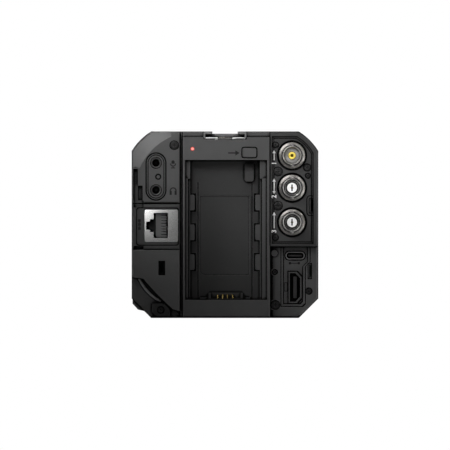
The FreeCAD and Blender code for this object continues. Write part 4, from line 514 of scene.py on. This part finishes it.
# Lamps
# The status lamp is a red diode under a domed clear lens, palest in the middle and pressed into the
# moulding above the bay. The front lamp is a small red window, and it is off.
lens_radius = 1.0
lamp_low, lamp_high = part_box("status_led")
lamp_x = (lamp_low.x + lamp_high.x) / 2
lamp_z = (lamp_low.z + lamp_high.z) / 2
lamp = Finish(bpy.data.materials.new("status_lamp"))
across = lamp.along("X") - lamp_x
up = lamp.along("Z") - lamp_z
from_middle = (across * across + up * up).root() / (lens_radius * mm)
glow_stops = [
    (0.0, rgb(1.0, 0.62, 0.55)),
    (0.5, rgb(1.0, 0.42, 0.36)),
    (0.8, rgb(0.7, 0.07, 0.05)),
    (1.0, rgb(0.2, 0.01, 0.008)),
]
glow = lamp.node("ValToRGB", {"stops": glow_stops}, {"Fac": from_middle})
lamp_red = lamp.shade(
    Base_Color=rgb(0.3, 0.02, 0.015), Roughness=0.25, Emission_Color=glow, Emission_Strength=0.8
)
dome = [
    (0.0, -39.15),
    (0.35, -39.11),
    (0.62, -38.98),
    (0.85, -38.7),
    (lens_radius, -38.3),
    (lens_radius, -35.0),
]
lens = Solid()
lens.turned(lamp_x / mm, lamp_z / mm, dome, 32)
lens.piece("status_lens", lamp_red, ["status_led"], "lamp_red", sharp=60.0)
lamp_dark = matte("lamp_dark", rgb(0.08, 0.01, 0.01), roughness=0.12, grain_depth=0.0, gloss=0.6)
dress(lamp_dark, "front_lamp")


# Accessory shoe
# Folded steel rails, painted black, are screwed to the top. Two bright flat springs press the foot
# of an accessory up, and gold contacts lie on the bed between them.
shoe_paint = matte("shoe_paint", rgb(0.11), roughness=0.4, grain=0.3, wear_and_highlight=1.0, recess_shade_gain=1.3)
dress(shoe_paint, "hot_shoe_rails")
spring_inner = 3.7
spring_low, spring_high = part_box("hot_shoe_springs")
spring_outer = spring_high.x / mm
spring_top = spring_high.z / mm
strip_low, strip_high = spring_top - 1.3, spring_top - 0.35
springs = Solid()
for x0, x1 in ((-spring_outer, -spring_inner), (spring_inner, spring_outer)):
    strip = rectangle(x0, x1, strip_low, strip_high)
    springs.block(strip, spring_low.y / mm, spring_high.y / mm)
spring_steel = metal("spring_steel", rgb(0.95), roughness=0.5, recess_shade_gain=0.0, uneven=0.3)
springs.piece("shoe_springs", spring_steel, ["hot_shoe_springs"], "nickel")
dress(metal("shoe_contacts", rgb(0.3, 0.28, 0.24), roughness=0.4), "hot_shoe_contacts")


# Sound jacks
# Two black moulded sockets for small round plugs, pressed into the panel. Each has a turned groove
# round it and a bevelled mouth.
jack_radius = 3.0
# Radius and y, from the outside through the groove and the mouth to the floor of the bore.
jack_profile = [
    (jack_radius, -27.0),
    (jack_radius, -39.02),
    (2.97, -39.08),
    (2.93, -39.1),
    (2.9, -38.4),
    (2.6, -38.4),
    (2.56, -39.0),
    (2.48, -39.1),
    (2.24, -39.1),
    (2.12, -38.98),
    (2.05, -38.6),
    (1.85, -38.3),
    (1.85, -29.2),
    (0.0, -29.1),
]
jack_low, jack_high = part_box("audio_jacks")
jack_x = (jack_low.x + jack_high.x) / 2 / mm
jacks = Solid()
for jack_z in (jack_high.z / mm - jack_radius, jack_low.z / mm + jack_radius):
    jacks.turned(jack_x, jack_z, jack_profile, 56)
# Painted shade darkens the bores the deeper they go; edges are painted paler as wear and highlight.
jack_plastic = matte(
    "jack_plastic",
    rgb(0.04),
    roughness=0.42,
    grain=0.25,
    grain_depth=0.006,
    wear_and_highlight=0.9,
    depth_shade=(-38.4, -37.4, 0.02),
)
jacks.piece("jack_sockets", jack_plastic, ["audio_jacks"], "black_plastic")


# Network socket
# A stamped and tinned steel shield lies round a black moulding with eight fingers. A moulded comb
# inside it guides the fingers between its teeth.
tinned = metal(
    "tinned_steel",
    rgb(0.7, 0.7, 0.69),
    roughness=0.26,
    wear_and_highlight=0.1,
    scratch=0.0002,
    recess_shade_gain=0.2,
    uneven=0.15,
)
dress(tinned, "lan_shield")
dress(black_plastic, "lan_core")
dress(metal("finger_metal", rgb(0.06, 0.055, 0.045), roughness=0.4), "lan_contacts")
comb_left, comb_shoulder, comb_root = -34.4, -33.9, -31.9
end_tooth_tip, tooth_tip = -28.9, -29.4
comb_back, comb_front = -29.0, -35.5
comb_low, comb_high = 40.2, 52.6
comb_corner = 0.5
comb_teeth = 9
tooth_pitch = (comb_high - comb_low) / comb_teeth
tooth_width = 0.62 * tooth_pitch
tooth_inset = 0.28
comb_line = [
    (comb_left, comb_low + comb_corner),
    (comb_shoulder, comb_low),
    (comb_root, comb_low),
]
for tooth in range(comb_teeth):
    tooth_low = comb_low + tooth * tooth_pitch + tooth_inset
    tooth_high = tooth_low + tooth_width
    tip = end_tooth_tip if tooth in (0, comb_teeth - 1) else tooth_tip
    comb_line += [(comb_root, tooth_low), (tip, tooth_low)]
    comb_line += [(tip, tooth_high), (comb_root, tooth_high)]
comb_line += [
    (comb_root, comb_high),
    (comb_shoulder, comb_high),
    (comb_left, comb_high - comb_corner),
]
comb = Solid()
comb.block(comb_line, comb_back, comb_front)
comb_plastic = matte("comb_plastic", rgb(0.13), roughness=0.45, grain=0.25, wear_and_highlight=0.9, recess_shade_gain=0.35)
comb.piece("socket_comb", comb_plastic, slot="black_plastic")


# Coaxial sockets
# Three nickel plated barrels with bayonet lugs, each held by a turned nut. The upper one has a grey
# insulator and a gold tube, and the two below have a slit white insulator round a pin.
shell_low, shell_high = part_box("bnc_shells")
nut_low, nut_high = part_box("bnc_nuts")
nut_radius = 6.6
socket_x = (shell_low.x + shell_high.x) / 2 / mm
socket_tip = shell_low.y / mm
nut_face = nut_low.y / mm
nut_back = nut_high.y / mm
socket_heights = [nut_high.z / mm - nut_radius, 64.9, nut_low.z / mm + nut_radius]

# Each profile is a list of a radius and a y, and the rows below count y from the socket's tip.
barrel = [
    (4.75, -27.0),
    (4.75, socket_tip + 0.3),
    (4.68, socket_tip + 0.1),
    (4.55, socket_tip),
    (4.4, socket_tip),
    (4.32, socket_tip + 0.1),
    (4.3, socket_tip + 1.1),
    (4.05, socket_tip + 1.3),
    (4.05, socket_tip + 7.0),
    (2.4, socket_tip + 7.1),
]
nut_grooves, groove_pitch, groove_width, nut_slope = 7, 0.18, 0.09, 0.012
nut = [(nut_radius, nut_back), (nut_radius, nut_face + 0.4), (6.5, nut_face + 0.3)]
for groove in range(nut_grooves):
    groove_radius = 6.4 - groove_pitch * groove
    groove_y = nut_face + 0.2 - nut_slope * groove
    nut += [(groove_radius, groove_y), (groove_radius - groove_width, groove_y + 0.05)]
nut += [(5.22, nut_face + 0.15), (5.2, nut_face + 1.5), (4.95, nut_face + 1.6), (4.95, nut_back)]
grey_ring = [(4.04, 6.6), (4.04, 3.5), (1.95, 3.4), (1.85, 6.6)]
gold_tube = [(1.83, 7.0), (1.83, 2.0), (1.75, 1.9), (0.85, 1.9), (0.75, 2.05), (0.75, 6.5)]
gold_tube += [(0.3, 6.5), (0.3, 4.2), (0.0, 4.1)]
sleeve = [(4.04, 3.3), (3.9, 3.1), (3.64, 3.1), (3.64, 2.3), (3.5, 2.2), (3.3, 2.2)]
sleeve += [(3.2, 2.35), (3.2, 3.0), (2.5, 3.1)]
thin_pin = [(0.42, 8.0), (0.42, 6.4), (0.3, 6.2), (0.0, 6.2)]


def from_tip(profile):
    return [(radius, socket_tip + depth) for radius, depth in profile]


def bayonet_lug(solid, z, side):
    lug_depth, steps = 2.2, 20
    rings = []
    for height, radius in ((4.4, 0.9), (5.4, 0.9), (5.54, 0.72)):
        flat = circle(socket_x, 0.0, socket_tip + lug_depth, radius, steps)
        rings.append([(px, py, z + side * height) for px, _, py in flat])
    solid.bridged(rings, capped=(-1,))


# The slit has a round hole in its middle, whose arc is given from the top right downwards.
slit_half, slit_reach, slit_shoulder = 0.34, 1.62, 0.53
hole_radius = 0.6
hole_turns = [math.radians(52.5 - 15.0 * i) for i in range(8)]
hole_arc = [(hole_radius * math.cos(turn), hole_radius * math.sin(turn)) for turn in hole_turns]
slit_side = [(slit_half, slit_reach), (slit_half, slit_shoulder)] + hole_arc
slit_side += [(slit_half, -slit_shoulder), (slit_half, -slit_reach)]
slit = slit_side + [(-px, -pz) for px, pz in slit_side]


def slit_core(solid, z, face_y):
    steps = 60
    face_radius, core_radius = 2.42, 2.5
    _, rim = solid.loop(circle(socket_x, face_y, z, face_radius, steps))
    _, mouth = solid.loop([(socket_x + px, face_y, z + pz) for px, pz in slit])
    bmesh.ops.triangle_fill(solid.mesh, use_beauty=True, edges=rim + mouth)
    _, bottom = solid.loop([(socket_x + px, face_y + 3.0, z + pz) for px, pz in slit])
    bmesh.ops.bridge_loops(solid.mesh, edges=mouth + bottom)
    side = [(face_radius, face_y), (core_radius, face_y + 0.08), (core_radius, face_y + 6.0)]
    solid.turned(socket_x, z, side, steps)


shells = Solid()
nuts = Solid()
insulators = Solid()
white_cores = Solid()
slit_shade_blocks = Solid()
pins = Solid()
for z in socket_heights:
    shells.turned(socket_x, z, barrel, 72)
    for side in (-1.0, 1.0):
        bayonet_lug(shells, z, side)
    nuts.turned(socket_x, z, nut, 72)
top_height, *slit_heights = socket_heights
insulators.turned(socket_x, top_height, from_tip(grey_ring), 64)
pins.turned(socket_x, top_height, from_tip(gold_tube), 40)
core_face = socket_tip + 1.2
for z in slit_heights:
    shells.turned(socket_x, z, from_tip(sleeve), 64)
    slit_core(white_cores, z, core_face)
    # A black block fills each slit, a dark piece that stands for the shade inside it.
    half_x, half_z = slit_half - 0.02, slit_reach - 0.05
    shade_block = rectangle(socket_x - half_x, socket_x + half_x, z - half_z, z + half_z)
    slit_shade_blocks.block(shade_block, core_face + 0.1, core_face + 2.8)
    pins.turned(socket_x, z, from_tip(thin_pin), 24)

# The barrels' nickel is painted much darker than the nuts', as painted shade round the barrels.
nickel = metal(
    "nickel", rgb(0.42, 0.41, 0.4), roughness=0.4, wear_and_highlight=0.8, radius=0.1, recess_shade_gain=0.75, uneven=0.5
)
shells.piece("coaxial_barrels", nickel, ["bnc_shells"], "nickel")
nut_metal = metal(
    "nut_metal", rgb(0.85, 0.82, 0.79), wear_and_highlight=0.1, radius=0.05, recess_shade_gain=0.9, uneven=0.4
)
nuts.piece("coaxial_nuts", nut_metal, ["bnc_nuts"], "nickel", sharp=24.0)
grey_insulator = matte("grey_insulator", rgb(0.5), grain=0.3, mottle=0.05, recess_shade_gain=0.4)
insulators.piece("grey_disc", grey_insulator, ["bnc_insulator_1"], "insulator_grey")
white_insulator = matte(
    "white_insulator",
    rgb(0.97, 0.96, 0.95),
    roughness=0.45,
    grain=0.3,
    mottle=0.02,
    wear_and_highlight=0.1,
    recess_shade_gain=0.5,
)
white_cores.piece("white_cores", white_insulator, ["bnc_insulators_2_3"], "insulator_white")
slit_shade_blocks.piece("slit_shade_blocks", black_plastic, slot="black_plastic")
bright_gold = metal(
    "bright_gold", rgb(1.0, 0.78, 0.15), roughness=0.5, wear_and_highlight=0.2, recess_shade_gain=0.3, uneven=0.3
)
pins.piece("coaxial_pins", bright_gold, ["bnc_contacts"], "gold")


# Data and video sockets
# Drawn steel shells, one with a dark plating and one blackened, stand in a moulded tray. Each holds
# a black moulded tongue that carries its contacts.
def slot_outline(centre, half, radius, y):
    steps = 8
    quadrants = ((1, 1), (-1, 1), (-1, -1), (1, -1))
    points = []
    for quarter, (side_x, side_z) in enumerate(quadrants):
        for i in range(steps + 1):
            turn = math.pi / 2 * (quarter + i / steps)
            x = centre[0] + side_x * (half[0] - radius) + radius * math.cos(turn)
            z = centre[1] + side_z * (half[1] - radius) + radius * math.sin(turn)
            points.append((x, y, z))
    return points


data_corner = 1.8
data_low, data_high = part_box("data_socket_shell")
data_centre = ((data_low.x + data_high.x) / 2 / mm, (data_low.z + data_high.z) / 2 / mm)
data_half = ((data_high.x - data_low.x) / 2 / mm, (data_high.z - data_low.z) / 2 / mm)
# Inset and y of each ring, from the outside over the rounded rim to the inside.
data_rings = [
    (0.0, -27.0),
    (0.0, -32.92),
    (0.08, -33.0),
    (0.38, -33.0),
    (0.5, -32.88),
    (0.5, -28.4),
]
data_outlines = []
for inset, y in data_rings:
    half = (data_half[0] - inset, data_half[1] - inset)
    data_outlines.append(slot_outline(data_centre, half, data_corner - inset, y))
data_socket = Solid()
data_socket.bridged(data_outlines)
dark_steel = metal("socket_steel", rgb(0.24), roughness=0.45, wear_and_highlight=1.5, recess_shade_gain=1.2)
data_socket.piece("data_shell", dark_steel, ["data_socket_shell"], "socket_steel")
# Painted shade darkens the shell's inside with depth; edges are painted paler as wear and
# highlight.
socket_black = matte(
    "socket_black", rgb(0.05), roughness=0.45, grain=0.25, wear_and_highlight=2.5, depth_shade=(-32.8, -31.6, 0.03)
)
dress(socket_black, "video_socket_shell")
# The tongues' edges are painted paler, as wear and as a painted highlight.
tongue_plastic = matte(
    "tongue_plastic", rgb(0.035), roughness=0.45, grain=0.25, wear_and_highlight=3.0, recess_shade_gain=0.6
)
dress(tongue_plastic, "socket_tongues")


# Printed marks
# Small generic signs are printed on the panels in pale or dark ink, and lie flat on them: arrows,
# plain numbers, a microphone, headphones, linked boxes, and line signs at the lower sockets.
class Marks(Solid):
    """Flat printed shapes that lie on a face of the back."""

    def __init__(self, face_y):
        super().__init__()
        self.face_y = face_y

    def shape(self, points):
        ink_height, ink_root = 0.03, 0.02
        self.block(points, self.face_y - ink_height, self.face_y + ink_root)

    def bar(self, x0, x1, z0, z1):
        self.shape(rectangle(x0, x1, z0, z1))

    def arc(self, x, z, outer, inner, start, end):
        steps = 16
        turns = [math.radians(start + (end - start) * i / steps) for i in range(steps + 1)]
        points = [(x + outer * math.cos(turn), z + outer * math.sin(turn)) for turn in turns]
        turns.reverse()
        points += [(x + inner * math.cos(turn), z + inner * math.sin(turn)) for turn in turns]
        self.shape(points)

    def number(self, text, x, z, size):
        curve = bpy.data.curves.new("number", "FONT")
        curve.body = text
        curve.size = size
        curve.extrude = 0.025
        curve.offset = 0.07
        curve.align_x = "CENTER"
        curve.align_y = "CENTER"
        made = bpy.data.objects.new("number", curve)
        bpy.context.scene.collection.objects.link(made)
        depsgraph = bpy.context.evaluated_depsgraph_get()
        flat = bpy.data.meshes.new_from_object(made.evaluated_get(depsgraph))
        upright = Matrix.Rotation(math.radians(90.0), 4, "X")
        turned = Matrix.Rotation(math.radians(-90.0), 4, "Y")
        flat.transform(Matrix.Translation((x, self.face_y, z)) @ turned @ upright)
        self.mesh.from_mesh(flat)
        bpy.data.objects.remove(made)
        bpy.data.curves.remove(curve)
        bpy.data.meshes.remove(flat)


pale_ink = matte("pale_ink", rgb(0.85), roughness=0.6, grain=0.3, mottle=0.1, wear_and_highlight=0.0, recess_shade_gain=0.0)
dark_ink = matte(
    "dark_ink", rgb(0.008), roughness=0.5, grain=0.3, mottle=0.1, wear_and_highlight=0.0, gloss=0.2, recess_shade_gain=0.0
)
bay_face, network_face, coaxial_face, port_face = -39.0, -38.4, -38.0, -32.4

bay_marks = Marks(bay_face)
bay_marks.bar(1.6, 5.2, 81.95, 82.55)
bay_marks.shape([(5.2, 81.0), (7.2, 82.25), (5.2, 83.5)])
bay_marks.piece("button_arrow", dark_ink, slot="back_charcoal")

# Capsule, holder, stem and foot of the microphone, then the band and two cups of the headphones.
sound_marks = Marks(bay_face)
sound_marks.arc(-25.9, 77.8, 0.75, 0.0, 0.0, 180.0)
sound_marks.bar(-26.65, -25.15, 76.9, 77.8)
sound_marks.arc(-25.9, 77.0, 1.5, 1.05, 180.0, 360.0)
sound_marks.bar(-26.1, -25.7, 75.0, 75.6)
sound_marks.bar(-26.9, -24.9, 74.6, 75.0)
sound_marks.arc(-25.85, 63.4, 1.7, 1.2, 0.0, 180.0)
sound_marks.bar(-27.55, -26.6, 61.4, 63.4)
sound_marks.bar(-25.1, -24.15, 61.4, 63.4)
sound_marks.piece("sound_signs", dark_ink, slot="back_charcoal")

network_marks = Marks(network_face)
for low in (44.0, 46.0, 48.0):
    network_marks.bar(-43.3, -42.0, low, low + 1.2)
network_marks.bar(-42.8, -42.5, 45.2, 48.0)
network_marks.piece("network_sign", dark_ink, slot="back_charcoal")

# A number at the low end of each arrow. The middle arrow has a head at both ends.
socket_marks = Marks(coaxial_face)
arrow_x, head_half = 24.5, 0.8
for text, low, high in (("1", 76.2, 83.7), ("2", 59.6, 69.5), ("3", 42.3, 52.8)):
    left, right = arrow_x - head_half, arrow_x + head_half
    socket_marks.number(text, arrow_x, low + 0.9, 3.3)
    socket_marks.bar(arrow_x - 0.2, arrow_x + 0.2, low + 2.4, high - 1.2)
    socket_marks.shape([(left, high - 1.6), (right, high - 1.6), (arrow_x, high)])
    if text == "2":
        socket_marks.shape([(left, low + 3.6), (arrow_x, low + 2.1), (right, low + 3.6)])
socket_marks.piece("socket_numbers", pale_ink, slot="back_charcoal")

# A line with a dot and a box at its ends for data, and an upright frame on a foot for pictures.
port_marks = Marks(port_face)
port_marks.bar(32.6, 36.9, 27.15, 27.45)
port_marks.arc(32.4, 27.3, 0.6, 0.0, 0.0, 360.0)
port_marks.bar(36.3, 37.3, 26.8, 27.8)
port_marks.bar(29.6, 29.85, 13.5, 17.5)
port_marks.bar(30.85, 31.1, 13.5, 17.5)
port_marks.bar(29.6, 31.1, 13.25, 13.5)
port_marks.bar(29.6, 31.1, 17.5, 17.75)
port_marks.bar(31.3, 31.5, 14.6, 16.4)
port_marks.piece("port_signs", dark_ink, slot="back_charcoal")


# Lock slot
# A stamped steel plate with a near black colour lies behind the slot of the lower left panel, and
# takes the head of a cable lock.
dress(metal("lock_plate", rgb(0.02), roughness=0.6, wear_and_highlight=0.1), "lock_slot_plate")


# Controls of the right side
# A red record button, two black keys and a slide switch are moulded pieces that lie flush with the
# right plate and move in its openings.
dress(black_plastic, "function_button_1", "function_button_2", "power_slider")
dress(matte("record_red", rgb(0.4, 0.02, 0.018), roughness=0.4, grain=0.25), "record_button")


# Floor, lamps and camera
# A pale table in a white room, a soft key lamp at the upper left of the back, and weaker lamps
# round it. The camera looks straight at the back from far away, as the photograph does.
world = bpy.data.worlds.new("room")
bpy.context.scene.world = world
# The room is dim for the object and white for the camera. It is white too for shine that comes
# from beyond the front, so that the lens mount mirrors something.
room = Finish(world)
room_level = 0.085
seen = room.node("LightPath", output="Is Camera Ray")
through = room.node("LightPath", output="Is Transmission Ray")
mirrored = room.node("LightPath", output="Is Glossy Ray")
direction = room.node("TexCoord", output="Generated")
towards = room.node("SeparateXYZ", inputs={0: direction}, output="Y")
backdrop = mirrored * ((towards - 0.1) * 4.0).held(0.0, 1.0)
white = (seen + through + backdrop).held(0.0, 1.0)
strength = white + (1.0 - white) * room_level
light = room.node("Background", inputs={"Color": rgb(1.0), "Strength": strength})
room.node("OutputWorld", inputs={"Surface": light})

floor_mesh = bmesh.new()
bmesh.ops.create_grid(floor_mesh, x_segments=8, y_segments=8, size=2.0)
floor_data = bpy.data.meshes.new("floor")
floor_mesh.to_mesh(floor_data)
floor_mesh.free()
floor = bpy.data.objects.new("floor", floor_data)
bpy.context.scene.collection.objects.link(floor)
# The table glows a little for the camera alone, which keeps it pale and keeps the shadow on it.
table = Finish(bpy.data.materials.new("table"))
table_tone = table.blend(table.noise(40.0), rgb(0.86), rgb(0.9))
pale = table.blend(table.node("LightPath", output="Is Camera Ray"), rgb(0.0), rgb(0.42))
table_paint = table.shade(
    Base_Color=table_tone,
    Roughness=0.6,
    Specular_IOR_Level=0.3,
    Emission_Color=pale,
    Emission_Strength=1.0,
)
floor_data.materials.append(table_paint)


def soft_lamp(name, place, target, size, power, spread):
    data = bpy.data.lights.new(name, "AREA")
    data.shape = "SQUARE"
    data.size = size * mm
    data.energy = power
    data.spread = math.radians(spread)
    made = bpy.data.objects.new(name, data)
    bpy.context.scene.collection.objects.link(made)
    start = Vector(place) * mm
    aim = Vector(target) * mm - start
    made.location = start
    made.rotation_euler = aim.to_track_quat("-Z", "Y").to_euler()
    made.visible_camera = False


# Each row holds a name, the place, the point it looks at, the size, the power and the spread.
lamp_rows = [
    ("key", (-50, -175, 180), (0, -39, 122), 110, 0.042, 56.0),
    ("low_right", (150, -150, 22), (38, -40, 64), 60, 0.0025, 16.0),
    ("top_left", (-150, -100, 230), (-33, -36, 92), 60, 0.012, 20.0),
    ("left_fill", (-240, -180, 85), (-30, -39, 30), 160, 0.05, 180.0),
    ("tin_window", (-46, -108, 61), (-38, -39, 52), 18, 0.0004, 50.0),
    ("right_window", (341, -194, 75), (33, -38, 66), 150, 0.004, 16.0),
    ("socket_window", (83, -239, 125), (34, -39, 66), 24, 0.0016, 22.0),
    ("front_fill", (150, 330, 260), (0, 39, 46), 250, 0.9, 180.0),
    ("right_fill", (330, -60, 160), (46, 0, 46), 220, 0.3, 180.0),
]
for lamp_row in lamp_rows:
    soft_lamp(*lamp_row)

# The photograph is 450 pixels wide, and the object's underside lies 318 pixels down it.
photo_width = 450.0
underside_row = 318.0
pixel = 0.4984
camera_data = bpy.data.cameras.new("camera")
camera_data.type = "ORTHO"
camera_data.ortho_scale = photo_width * pixel * mm
camera_data.clip_start = 0.01
camera_data.clip_end = 20.0
camera = bpy.data.objects.new("camera", camera_data)
bpy.context.scene.collection.objects.link(camera)
camera.location = (0.0, -1.0, (underside_row - photo_width / 2) * pixel * mm)
camera.rotation_euler = (math.radians(90.0), 0.0, 0.0)
bpy.context.scene.camera = camera
bpy.context.scene.view_settings.view_transform = "Standard"
